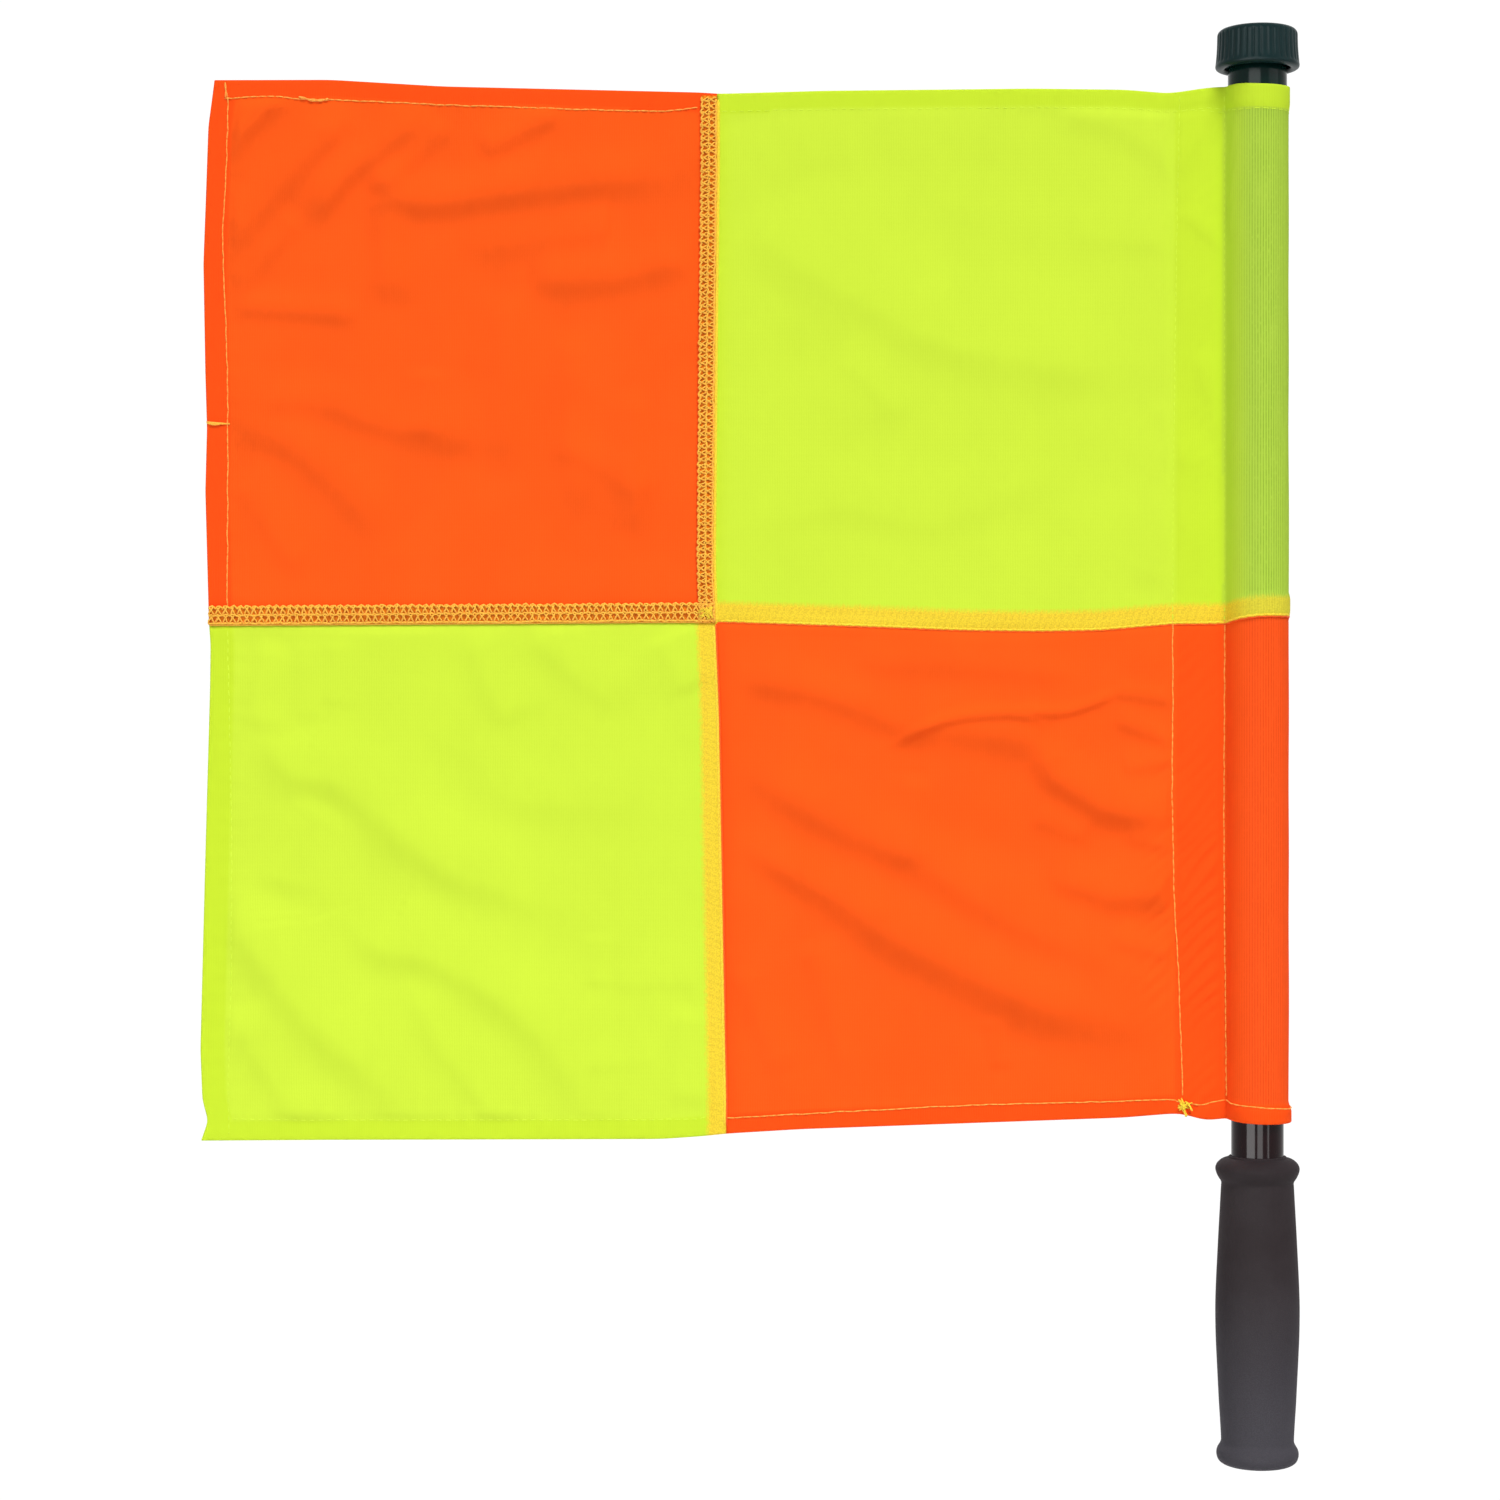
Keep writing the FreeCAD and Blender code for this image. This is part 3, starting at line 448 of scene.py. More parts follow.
def grid_faces(rows, columns, closed=False):
    """Four-sided faces between neighbouring rows and columns, the columns joined up if closed."""
    number = np.arange(rows * columns).reshape(rows, columns)
    right = np.roll(number, -1, 1) if closed else number[:, 1:]
    left = number if closed else number[:, :-1]
    return np.stack([left[:-1], right[:-1], right[1:], left[1:]], -1).reshape(-1, 4)


def write_values(piece, **values):
    """Stores one number at each point of a mesh under each name."""
    for name, value in values.items():
        layer = piece.data.attributes.new(name, "FLOAT", "POINT")
        layer.data.foreach_set("value", np.asarray(value, np.float32).ravel())


def write_uv(piece, u, v):
    """A UV map in millimetres of cloth, so that the knit runs with the cloth."""
    corner = np.zeros(len(piece.data.loops), np.int32)
    piece.data.loops.foreach_get("vertex_index", corner)
    both = np.stack([u.ravel()[corner], v.ravel()[corner]], 1)
    layer = piece.data.uv_layers.new(name="cloth")
    layer.data.foreach_set("uv", both.astype(np.float32).ravel())


def thicken(piece, thickness):
    """Gives a sheet its thickness, half to each side."""
    wall = piece.modifiers.new("thickness", "SOLIDIFY")
    wall.thickness = thickness * MM
    wall.offset = 0
    return piece


def quarter_places(side, level):
    """The places (u, z) of a quarter's samples and their depths behind the sheet. Each place is found by
    going back and forth between the two upright edges and the two level ones until it lies at its
    share of both."""
    if side == "fly":
        inward, depth_u = turned(FLY_WIDTH, FLY_HEM, int(FLY_WIDTH / STEP))
        share_u = 1 - inward / FLY_WIDTH
    else:
        share_u = np.linspace(0, 1, int((SEAM_TO_POLE + FLAP_END) / STEP))
        depth_u = 0 * share_u
    inward_z, depth_z = turned(QUARTER_HEIGHT, HEM, int(QUARTER_HEIGHT / STEP))
    a, b = np.meshgrid(share_u, inward_z / QUARTER_HEIGHT)
    u, z = CENTRE[0] + 0 * a, CENTRE[1] + 0 * a
    for _ in range(6):
        outer = edge(level, u)
        z = outer + (edge("cross", u) - outer) * b
        middle = edge("middle", z)
        far = edge("fly", z) if side == "fly" else FLAP_END
        u = middle + (far - middle) * a
    return u, z, np.add.outer(depth_z, depth_u)


def write_layers(piece, side, level, u, z, x):
    """Stores what lies behind each point of a quarter, for its material to read: a second layer of
    cloth, which also carries painted shade beside the tube and along the hoist's middle seam, the
    tube and its ribs in the knit, and a seam's tail with the place in its net. The tube's share
    fades over its left half, partly where the cloth leaves the tube and partly as painted light on
    the flank that the lamps leave in shade."""
    hem_z = np.abs(z - edge(level, u)) < (top_hem(u) if level == "top" else HEM)
    hem_u = u - edge("fly", z) < FLY_HEM
    # The strip between the sleeve's stitch lines is double cloth, and its share is raised as painted shade
    # from the tube beside it
    strip = 0.85 * ease_in((u - FLAP_STITCH) / 2) * ease_in((POLE_STITCH - u) / 1.5) + (u > WRAP_END)
    above_seam, left_of_seam = z - edge("cross", u), edge("middle", z) - u
    tail, net_along, net_away = 0 * u, 0 * u, 0 * u
    if side == "hoist":
        # Painted shade: a dark band beside the middle seam on the hoist quarters, stored with the second
        # layer though no second layer lies there
        strip = strip + 0.7 * np.exp(-((left_of_seam / 4) ** 2))
    if (side, level) == ("hoist", "top"):
        tail = np.clip((TAIL + 3.4 - above_seam) / 6, 0, 1)
        net_along, net_away = u, above_seam
    elif (side, level) == ("fly", "bottom"):
        tail = np.clip((TAIL + 2.9 - left_of_seam) / 6, 0, 1)
        net_along, net_away = z, left_of_seam
    around = (u > ON_TUBE[0]) & (u < ON_TUBE[1])
    write_values(
        piece, tail=tail, net_along=net_along, net_away=net_away,
        double=np.clip(hem_z + hem_u + strip, 0, 1),
        # The tube's share fades over its left half: partly real, where the cloth leaves the tube, and partly
        # painted light on the left flank, which the lamps leave in shade
        tube=around * (0.3 + 0.7 * ease_in((x + 12) / 9)) * (1 - 0.9 * hem_z),
        ribs=(0.5 + 0.5 * np.exp(-(((x - 2) / 7) ** 2))) * around,
    )


def quarter(name, side, level, material):
    """A quarter of the cloth, hemmed at its free edges."""
    u, z, depth = quarter_places(side, level)
    points = place(u, z, -depth)
    faces = grid_faces(*u.shape)
    facing = np.cross(points[0, 1] - points[0, 0], points[1, 0] - points[0, 0])
    if facing[1] > 0:
        faces = faces[:, ::-1]
    piece = new_mesh(name, points.reshape(-1, 3), faces, material, "flag")
    write_uv(piece, u, z)
    write_layers(piece, side, level, u, z, points[..., 0] / MM)
    return thicken(piece, CLOTH)


# Materials

# How a noise is stretched: the same every way, or long streaks up a drawn tube
EVEN = (1, 1, 1)
DRAWN = (1, 1, 0.03)


def add(tree, kind, inputs=None, **settings):
    """A shader node with its settings and inputs, each input a value or another node's output."""
    made = tree.nodes.new("ShaderNode" + kind)
    for name, value in settings.items():
        setattr(made, name, value)
    for name, value in (inputs or {}).items():
        socket = made.inputs[name]
        if isinstance(value, bpy.types.NodeSocket):
            tree.links.new(value, socket)
        else:
            socket.default_value = value
    return made


def mixed(tree, share, first, second):
    """Two colours mixed by a share."""
    return add(tree, "Mix", {0: share, 6: first, 7: second}, data_type="RGBA").outputs[2]


def sums(tree, operation, first, second=0.0):
    """A sum of the named kind on two values."""
    return add(tree, "Math", {0: first, 1: second}, operation=operation).outputs[0]


def times(tree, first, second):
    """Two values multiplied."""
    return sums(tree, "MULTIPLY", first, second)


def plus(tree, first, second):
    """Two values added."""
    return sums(tree, "ADD", first, second)


def noise(tree, where, scale, detail=3.0, stretch=EVEN):
    """Noise of a scale in features per unit, stretched along the axes."""
    moved = add(tree, "Mapping", {"Vector": where, "Scale": stretch}).outputs[0]
    return add(tree, "TexNoise", {"Vector": moved, "Scale": scale, "Detail": detail}).outputs[0]


def ramp(tree, value, low, high):
    """Sharpens a value: 0 at low, 1 at high."""
    node = add(tree, "MapRange", {0: value, 1: low, 2: high}, interpolation_type="SMOOTHSTEP")
    return node.outputs[0]


def colour(red, green, blue):
    """A screen colour, 0 to 255, as the linear light that gives it."""
    screen = (red / 255, green / 255, blue / 255)
    return tuple(c / 12.92 if c <= 0.04045 else ((c + 0.055) / 1.055) ** 2.4 for c in screen) + (1.0,)


def shade(base, share):
    """The same colour with a share of its light."""
    return tuple(c * share for c in base[:3]) + (1.0,)


def finish(name, base, roughness, bump, bump_size, **sockets):
    """A material whose base colour, roughness and bump are given by functions of its node tree. The
    bump's size is in millimetres, and other sockets get plain values."""
    made = bpy.data.materials.new(name)
    made.use_nodes = True
    tree = made.node_tree
    shader = tree.nodes["Principled BSDF"]
    for socket, value in (("Base Color", base), ("Roughness", roughness)):
        result = value(tree) if callable(value) else value
        if isinstance(result, bpy.types.NodeSocket):
            tree.links.new(result, shader.inputs[socket])
        else:
            shader.inputs[socket].default_value = result
    for socket, value in sockets.items():
        shader.inputs[socket.replace("_", " ")].default_value = value
    bent = add(tree, "Bump", {"Height": bump(tree), "Distance": bump_size * MM, "Strength": 1.0})
    tree.links.new(bent.outputs[0], shader.inputs["Normal"])
    return made


def object_place(tree):
    """The place on the piece in metres."""
    return add(tree, "TexCoord").outputs["Object"]


def cloth_place(tree):
    """The place (u, z) on the cloth in millimetres."""
    return add(tree, "UVMap", uv_map="cloth").outputs[0]


def stored(tree, name):
    """A value stored at the cloth's points."""
    return add(tree, "Attribute", attribute_name=name).outputs["Fac"]


def knit_wales(tree, pitch=0.62):
    """Upright wales of the knit: a sine of the place along the cloth, from 0 to 1."""
    split = add(tree, "SeparateXYZ", {0: cloth_place(tree)})
    wander = times(tree, noise(tree, cloth_place(tree), 0.12), 5.0)
    turns = plus(tree, times(tree, split.outputs[0], TURN / pitch), wander)
    return times(tree, plus(tree, sums(tree, "SINE", turns), 1.0), 0.5)


def tight_ribs(tree, pitch=0.98):
    """The coarser upright ribs of the knit where it is stretched over the tube: dark lines between
    wider light ones, which wander a little."""
    split = add(tree, "SeparateXYZ", {0: cloth_place(tree)})
    wander = times(tree, noise(tree, cloth_place(tree), 0.05, 2.0, (1, 0.25, 1)), 3.0)
    turns = plus(tree, times(tree, split.outputs[0], TURN / pitch), wander)
    return ramp(tree, sums(tree, "SINE", turns), -0.2, 0.9)


def net_behind(tree, pitch=2.6, row=3.3):
    """The overlock net that lies behind the cloth, from 0 to 1: two rows of slanting dark openings."""
    along = times(tree, stored(tree, "net_along"), TURN / pitch)
    away = stored(tree, "net_away")
    place_off = times(tree, noise(tree, cloth_place(tree), 0.5, 2.0), 5.0)
    slant = plus(tree, sums(tree, "SUBTRACT", along, times(tree, away, 0.9)), place_off)
    rows = sums(tree, "ABSOLUTE", sums(tree, "SINE", times(tree, away, math.pi / row)))
    openings = times(tree, sums(tree, "SINE", slant), rows)
    return ramp(tree, plus(tree, openings, noise(tree, cloth_place(tree), 1.5, 2.0)), 0.35, 1.25)


def knit_courses(tree, pitch=0.45):
    """Level courses of the knit: a sine of the height, from 0 to 1."""
    split = add(tree, "SeparateXYZ", {0: cloth_place(tree)})
    turns = times(tree, split.outputs[1], TURN / pitch)
    return times(tree, plus(tree, sums(tree, "SINE", turns), 1.0), 0.5)


def knit_bump(tree):
    """Wales and courses multiplied, plus fibre noise."""
    loops = times(tree, knit_wales(tree), plus(tree, knit_courses(tree), 0.6))
    return plus(tree, loops, noise(tree, cloth_place(tree), 1.6, 2.0))


def cloth_finish(name, plain, dense_and_shaded, over_tube, tube_line, tail_light, tail_dark, line_strength, cloud):
    """Knitted polyester: mottled, denser where it is double and darker with painted shade beside the
    tube and along the hoist's middle seam, darker where the tube shows through in upright lines, and
    grainy where a seam's tail lies behind it."""

    def base(tree):
        where = cloth_place(tree)
        cloudy = noise(tree, where, 0.035, 2.0)
        fine = noise(tree, where, 1.1, 2.0)
        value = mixed(tree, ramp(tree, cloudy, 0.3, 0.7), plain, shade(plain, cloud))
        value = mixed(tree, times(tree, fine, 0.12), value, shade(plain, 0.8))
        lines = times(tree, knit_wales(tree), 0.03)
        value = mixed(tree, lines, value, shade(plain, 0.72))
        # Double cloth and the painted shade beside the tube and the hoist's middle seam share this one darker
        # colour
        value = mixed(tree, times(tree, stored(tree, "double"), 0.75), value, dense_and_shaded)
        patchy = ramp(tree, noise(tree, where, 0.3, 3.0, (1, 0.2, 1)), 0.0, 0.6)
        broken = ramp(tree, noise(tree, where, 1.1, 2.0, (1, 0.5, 1)), 0.1, 0.55)
        streak = times(tree, times(tree, tight_ribs(tree), broken), patchy)
        streak = times(tree, streak, stored(tree, "ribs"))
        under = mixed(tree, times(tree, streak, line_strength), over_tube, tube_line)
        value = mixed(tree, stored(tree, "tube"), value, under)
        weave = ramp(tree, noise(tree, where, 1.7, 2.0, (1.2, 1, 1)), 0.38, 0.62)
        uneven = plus(tree, times(tree, net_behind(tree), 0.22), times(tree, weave, 0.65))
        tail = mixed(tree, uneven, tail_light, tail_dark)
        frayed = sums(tree, "SUBTRACT", noise(tree, where, 1.3, 2.0, (1, 0.4, 1)), 0.5)
        edge_share = ramp(tree, plus(tree, stored(tree, "tail"), times(tree, frayed, 0.45)), 0.24, 0.72)
        seen_through = sums(tree, "SUBTRACT", 1.0, times(tree, stored(tree, "tube"), 0.35))
        edge_share = times(tree, edge_share, seen_through)
        return mixed(tree, edge_share, value, tail)

    def rough(tree):
        return plus(tree, times(tree, noise(tree, cloth_place(tree), 0.4), 0.1), 0.72)

    return finish(
        name, base, rough, knit_bump, 0.022, Specular_IOR_Level=0.025, Sheen_Weight=0.012, Sheen_Roughness=0.5
    )


# The second colour of each is for double cloth and for painted shade
ORANGE = cloth_finish(
    "orange_knit", colour(255, 92, 24), colour(250, 77, 18), colour(250, 88, 30), colour(226, 66, 20),
    colour(246, 112, 30), colour(206, 80, 18), 0.75, 0.94,
)
YELLOW = cloth_finish(
    "yellow_knit", colour(207, 236, 62), colour(198, 228, 44), colour(178, 210, 72), colour(126, 164, 46),
    colour(247, 217, 58), colour(220, 186, 48), 0.8, 0.985,
)


def thread_finish(name, light, dark):
    """Spun polyester: its fibres show as fine light and dark spots and a rough surface."""

    def base(tree):
        spots = noise(tree, object_place(tree), 2600.0, 2.0)
        return mixed(tree, ramp(tree, spots, 0.38, 0.62), dark, light)

    def fibres(tree):
        return noise(tree, object_place(tree), 3400.0, 1.0)

    return finish(name, base, 0.6, fibres, 0.05, Specular_IOR_Level=0.12, Sheen_Weight=0.1)


PALE_THREAD = thread_finish("pale_orange_thread", colour(255, 186, 82), colour(246, 146, 52))
YELLOW_THREAD = thread_finish("yellow_thread", colour(252, 226, 62), colour(236, 196, 42))
NET_THREAD = thread_finish("overlock_thread", colour(255, 200, 76), colour(250, 174, 52))
LIME_THREAD = thread_finish("lime_thread", colour(214, 242, 62), colour(204, 234, 54))


def tail_base(tree):
    """The cut edges of a seam: dark orange brown between the threads, lighter in spots."""
    spots = ramp(tree, noise(tree, object_place(tree), 900.0), 0.4, 0.62)
    return mixed(tree, spots, colour(208, 104, 14), colour(238, 136, 28))


def tail_bump(tree):
    """The cut edges' fibres."""
    return noise(tree, object_place(tree), 1500.0, 2.0)


SEAM_DIP = thread_finish("seam_dip", colour(252, 104, 24), colour(238, 92, 18))
TAIL_CLOTH = finish("seam_tail_cloth", tail_base, 0.8, tail_bump, 0.08, Specular_IOR_Level=0.08)


def plastic(name, dark, light, roughness, grain, stretch, bump_size, **sockets):
    """Moulded or drawn plastic: a faint cloud of a lighter shade, fine grain and handling marks."""

    def base(tree):
        where = object_place(tree)
        cloud = ramp(tree, noise(tree, where, 60.0, 4.0, stretch), 0.35, 0.75)
        speck = ramp(tree, noise(tree, where, 1400.0, 2.0), 0.66, 0.74)
        value = mixed(tree, cloud, dark, light)
        return mixed(tree, times(tree, speck, 0.25), value, shade(light, 2.2))

    def rough(tree):
        where = object_place(tree)
        marks = ramp(tree, noise(tree, where, 220.0, 5.0, stretch), 0.5, 0.8)
        return plus(tree, times(tree, marks, 0.14), roughness)

    def fine_grain(tree):
        return noise(tree, object_place(tree), grain, 3.0, stretch)

    return finish(name, base, rough, fine_grain, bump_size, **sockets)


INNER_PLASTIC = plastic(
    "dark_brown_tube", colour(22, 4, 8), colour(28, 9, 12), 0.1, 500.0, DRAWN, 0.004, Specular_IOR_Level=0.14
)
OUTER_PLASTIC = plastic(
    "dark_green_tube", colour(4, 32, 28), colour(8, 37, 33), 0.14, 500.0, DRAWN, 0.005, Specular_IOR_Level=0.1
)
CAP_PLASTIC = plastic(
    "cap_plastic", colour(9, 33, 34), colour(14, 38, 39), 0.36, 1800.0, EVEN, 0.012, Specular_IOR_Level=0.1
)
FITTING_PLASTIC = plastic(
    "fitting_nylon", colour(24, 24, 25), colour(32, 31, 32), 0.45, 1200.0, EVEN, 0.02,
    Specular_IOR_Level=0.2,
)
WASHER_PLASTIC = plastic(
    "slippery_washer", colour(222, 221, 214), colour(234, 233, 227), 0.35, 900.0, EVEN, 0.01,
    Specular_IOR_Level=0.4,
)


def foam_cells(tree):
    """Closed cells a few tenths of a millimetre wide: the distance from each cell's middle."""
    return add(tree, "TexVoronoi", {"Vector": object_place(tree), "Scale": 2600.0}).outputs[0]


def grip_base(tree):
    """Foam rubber: slightly cloudy, darker at its cells' walls and greyer towards the butt."""
    where = object_place(tree)
    cloud = ramp(tree, noise(tree, where, 45.0, 4.0), 0.3, 0.75)
    value = mixed(tree, cloud, colour(45, 38, 40), colour(53, 47, 49))
    height = add(tree, "SeparateXYZ", {0: where}).outputs[2]
    value = mixed(tree, ramp(tree, height, 0.03, -0.05), value, colour(70, 68, 74))
    walls = times(tree, ramp(tree, foam_cells(tree), 0.25, 0.6), 0.2)
    return mixed(tree, walls, value, colour(34, 31, 33))


def grip_bump(tree):
    """The foam's cells and a coarser unevenness."""
    return plus(tree, foam_cells(tree), noise(tree, object_place(tree), 700.0))


GRIP_FOAM = finish("foam_rubber", grip_base, 0.72, grip_bump, 0.035, Specular_IOR_Level=0.08)


# Threads


def thread_tubes(name, lines, widths, material, sides=6):
    """Round threads: each line is points (n, 3) in space with a radius at each, and rings of points
    square to the line are carried along it and closed at its ends."""
    points, faces, first = [], [], 0
    ring = np.arange(sides) * TURN / sides
    for line, width in zip(lines, widths):
        along = np.gradient(line, axis=0)
        along /= np.linalg.norm(along, axis=1)[:, None]
        side = np.cross(along, np.array((0.0, 1.0, 0.13)))
        side /= np.linalg.norm(side, axis=1)[:, None]
        up = np.cross(side, along)
        spread = side[:, None] * np.cos(ring)[:, None] + up[:, None] * np.sin(ring)[:, None]
        rings = line[:, None] + spread * (np.broadcast_to(width, len(line))[:, None, None] * MM)
        points.append(rings.reshape(-1, 3))
        joined = grid_faces(len(line), sides, closed=True) + first
        faces += joined[:, ::-1].tolist()
        last = first + (len(line) - 1) * sides
        faces.append(list(range(first, first + sides)))
        faces.append(list(range(last, last + sides))[::-1])
        first += len(line) * sides
    return new_mesh(name, np.vstack(points), faces, material, "flag")


THREAD = 0.25  # radius of the sewing thread
STITCH = 3.1  # length of a lock stitch
SWING = 0.16  # how far a stitch swings to the side


def stitches(points, out, seed, stitch=STITCH, thick=THREAD):
    """A row of lock stitches: the thread lies on the cloth, dives into it at each hole and swings a
    little to either side from stitch to stitch."""
    draw = np.random.default_rng(seed)
    line = even_steps(line_through(points, 12), stitch / 8)
    count = len(line)
    run = np.arange(count) / 8
    knots = int(run[-1]) + 2
    swing = np.interp(run, np.arange(knots), draw.uniform(-1, 1, knots)) * SWING
    along = np.gradient(line, axis=0)
    along /= np.linalg.norm(along, axis=1)[:, None]
    line = line + np.stack([-along[:, 1], along[:, 0]], 1) * swing[:, None]
    crown = np.abs(np.sin(math.pi * run)) ** 0.7
    lift = out + np.sign(out) * (crown * 0.3 - 0.2)
    return place(line[:, 0], line[:, 1], lift), thick * (0.55 + 0.45 * crown)


FRONT = CLOTH / 2 + THREAD * 0.5
BACK_OF_HEM = -(CLOTH / 2 + LAYER + THREAD * 0.5)


def seam_thread(name, rows, material):
    """Several rows of stitches as one piece: each row is (points, out, seed, other sizes)."""
    lines, widths = zip(*(stitches(points, out, seed, **sizes) for points, out, seed, sizes in rows))
    return thread_tubes(name, lines, widths, material)


def both_sides(points, seed, back=BACK_OF_HEM, front=FRONT, **sizes):
    """A row of stitches on the front of the cloth and one behind it."""
    return [(points, front, seed, sizes), (points, back, seed + 100, sizes)]


def sunk(points, seed, back=BACK_OF_HEM):
    """Finer thread of the cloth's own colour that pulls into it."""
    return both_sides(points, seed, back, CLOTH / 2 - 0.08, thick=0.16)


FLY_LINE_UPPER = (
    (-376.4, 449.5), (-375.6, 441), (-376.8, 409), (-377.6, 394), (-376.1, 354), (-375.7, 327), (-375.9, 256)
)
FLY_LINE_LOWER = ((-375.9, 252), (-374.6, 190), (-374.4, 130), (-375.6, 90), (-375.2, 68))
TOP_LINE_FLY = (
    (-377, 445.6), (-360, 446.4), (-349, 445.4), (-338, 445.2), (-290, 443.1), (-247, 441.7), (-222, 441),
    (-212, 441.6), (-204.4, 442.3),
)
TOP_LINE_HOIST = (
    (-196, 441), (-158, 441.6), (-83, 442.3), (-49, 442), (-32, 440.8), (-18, 442.2), (-11, 441.4),
    (0, 440.1), (30, 440.3), (56, 440.6), (75, 441.6),
)
BOTTOM_LINE_FLY = ((-374.5, 73.4), (-338, 73), (-218, 73.2), (-201, 74))
BOTTOM_LINE_HOIST = (
    (-194, 73.7), (-170.6, 75), (-108.6, 78.2), (-60, 79.6), (-33, 80.4), (-29, 79.8), (-21, 78.7),
    (-16, 79.8), (-10.6, 80.5), (-6, 79.6), (6, 78.6), (18, 77.8), (30, 78.2), (56, 79), (75, 80.5),
)
FLAP_LINE = (
    (-28.4, 447), (-29.4, 400), (-30.6, 320), (-31, 256), (-31, 226), (-31.2, 192), (-30.3, 150),
    (-28.9, 126), (-27.3, 82),
)
POLE_LINE = (
    (-11.9, 447), (-12, 350), (-11.9, 256), (-11.9, 248), (-12.2, 175), (-11.4, 110), (-10.9, 82),
)


def split_at(line, height):
    """The two parts of an upright line, which is drawn downwards, above and below a height."""
    at, upright = np.array(line, float).T
    crossing = (float(np.interp(-height, -upright, at)), height)
    above, below = [p for p in line if p[1] > height + 2], [p for p in line if p[1] < height - 2]
    return above + [crossing], [crossing] + below


SEAM_HEIGHT = 255  # where the sleeve's stitches change from lime thread to pale orange
# The sleeve's corner tack: the machine went over the corner to and fro, and the ends stayed loose
TACK_STROKES = (
    ((-28.9, 80.6), (-27.2, 78.9), (-25.2, 77.3)), ((-29.2, 78.4), (-27.6, 77.2), (-26.2, 75)),
    ((-28.8, 76.8), (-26.6, 78.3), (-24, 79.4)), ((-27.9, 81), (-27, 77.8), (-26.4, 74.4)),
    ((-26.6, 80), (-25.6, 79.2), (-24.2, 76.6)), ((-28.2, 79.6), (-26.8, 76.4), (-25.9, 74.8)),
    ((-29.4, 77.6), (-27.2, 78.4), (-25.6, 79.4)), ((-27.4, 79.8), (-27.2, 78.2), (-27.4, 76.6)),
    ((-28.6, 79.3), (-27.6, 78.3), (-26.2, 77.6)),
)
# Where a line of stitches starts or was sewn over, the thread lies thicker
THICK_AT_CORNER = (((-376.6, 451.5), (-376.4, 446)), FRONT + 0.2, 12, {"thick": 0.36})
THICK_IN_TOP_HEM = (((-349.8, 446.1), (-344, 444.8), (-339, 445.4)), FRONT + 0.3, 15, {"thick": 0.48})
HEM_TACK = (
    (((-383.5, 327.6), (-380, 327.1), (-375, 326.9)), FRONT + 0.15, 40, {"thick": 0.42, "stitch": 8.0}),
    (((-383.4, 327.2), (-381, 326.6), (-378.6, 326.8)), FRONT + 0.25, 41, {"thick": 0.4, "stitch": 8.0}),
)


def make_threads():
    """The stitches of the hems and the sleeve: pale thread on the orange cloth, which also stands for
    the frame's own strips, and lime thread sunk into the yellow."""
    flap_upper, flap_lower = split_at(FLAP_LINE, SEAM_HEIGHT)
    pole_upper, pole_lower = split_at(POLE_LINE, SEAM_HEIGHT)
    behind_flap = -(CLOTH / 2 + 2 * HALF_GAP + THREAD * 0.5)
    for name, rows, node in (
        ("fly_hem_thread", both_sides(FLY_LINE_UPPER, 11) + [THICK_AT_CORNER], "fly_hem_stitch"),
        ("top_hem_thread", both_sides(TOP_LINE_FLY, 14) + [THICK_IN_TOP_HEM], "top_hem_stitch"),
        ("bottom_hem_thread", both_sides(BOTTOM_LINE_HOIST, 17), "bottom_hem_stitch"),
        ("sleeve_flap_thread", both_sides(flap_lower, 19, behind_flap), "sleeve_flap_stitch"),
        ("sleeve_pole_thread", both_sides(pole_lower, 21, behind_flap), "sleeve_pole_stitch"),
    ):
        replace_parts(seam_thread(name, rows, PALE_THREAD), node)
    for name, rows in (
        ("fly_hem_thread_lower", sunk(FLY_LINE_LOWER, 13)),
        ("top_hem_thread_sleeve", sunk(TOP_LINE_HOIST, 16)),
        ("bottom_hem_thread_fly", sunk(BOTTOM_LINE_FLY, 18)),
        ("sleeve_flap_thread_upper", sunk(flap_upper, 20, behind_flap)),
        ("sleeve_pole_thread_upper", sunk(pole_upper, 22, behind_flap)),
    ):
        seam_thread(name, rows, LIME_THREAD)


def make_tacks():
    """The tack at the sleeve's lower corner and the one across the fly hem."""
    corner = [
        (line, FRONT + 0.25 + 0.12 * n, 30 + n, {"thick": 0.42, "stitch": 5.0})
        for n, line in enumerate(TACK_STROKES)
    ]
    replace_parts(seam_thread("sleeve_corner_tack", corner, YELLOW_THREAD), "sleeve_bar_tack")
    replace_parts(seam_thread("fly_hem_cross_tack", HEM_TACK, NET_THREAD), "fly_hem_tack")


# Seam tails and their overlock nets

# An overlock net, row by row: the thread's way as (share of the net's width from the seam, share of a
# stitch along it), its radius, how far it lies above the tail, and whether it runs on from stitch to
# stitch. Between the three lines that run on, crossing threads leave two rows of small openings.
NET_ROWS = (
    (((0.06, 0.0), (0.07, 0.5)), 0.42, 0.0, True),
    (((0.48, 0.0), (0.52, 0.3), (0.47, 0.65)), 0.33, 0.2, True),
    (((0.82, 0.0), (0.92, 0.2), (0.96, 0.5), (0.9, 0.8)), 0.36, 0.1, True),
    (((0.05, -0.05), (0.2, 0.14), (0.36, 0.38), (0.48, 0.6)), 0.33, 0.06, False),
    (((0.06, 0.78), (0.2, 0.62), (0.36, 0.38), (0.48, 0.06)), 0.28, 0.14, False),
    (((0.5, 0.0), (0.62, 0.12), (0.78, 0.34), (0.92, 0.55)), 0.33, 0.1, False),
    (((0.5, 0.78), (0.62, 0.62), (0.78, 0.36), (0.92, 0.06)), 0.28, 0.16, False),
)


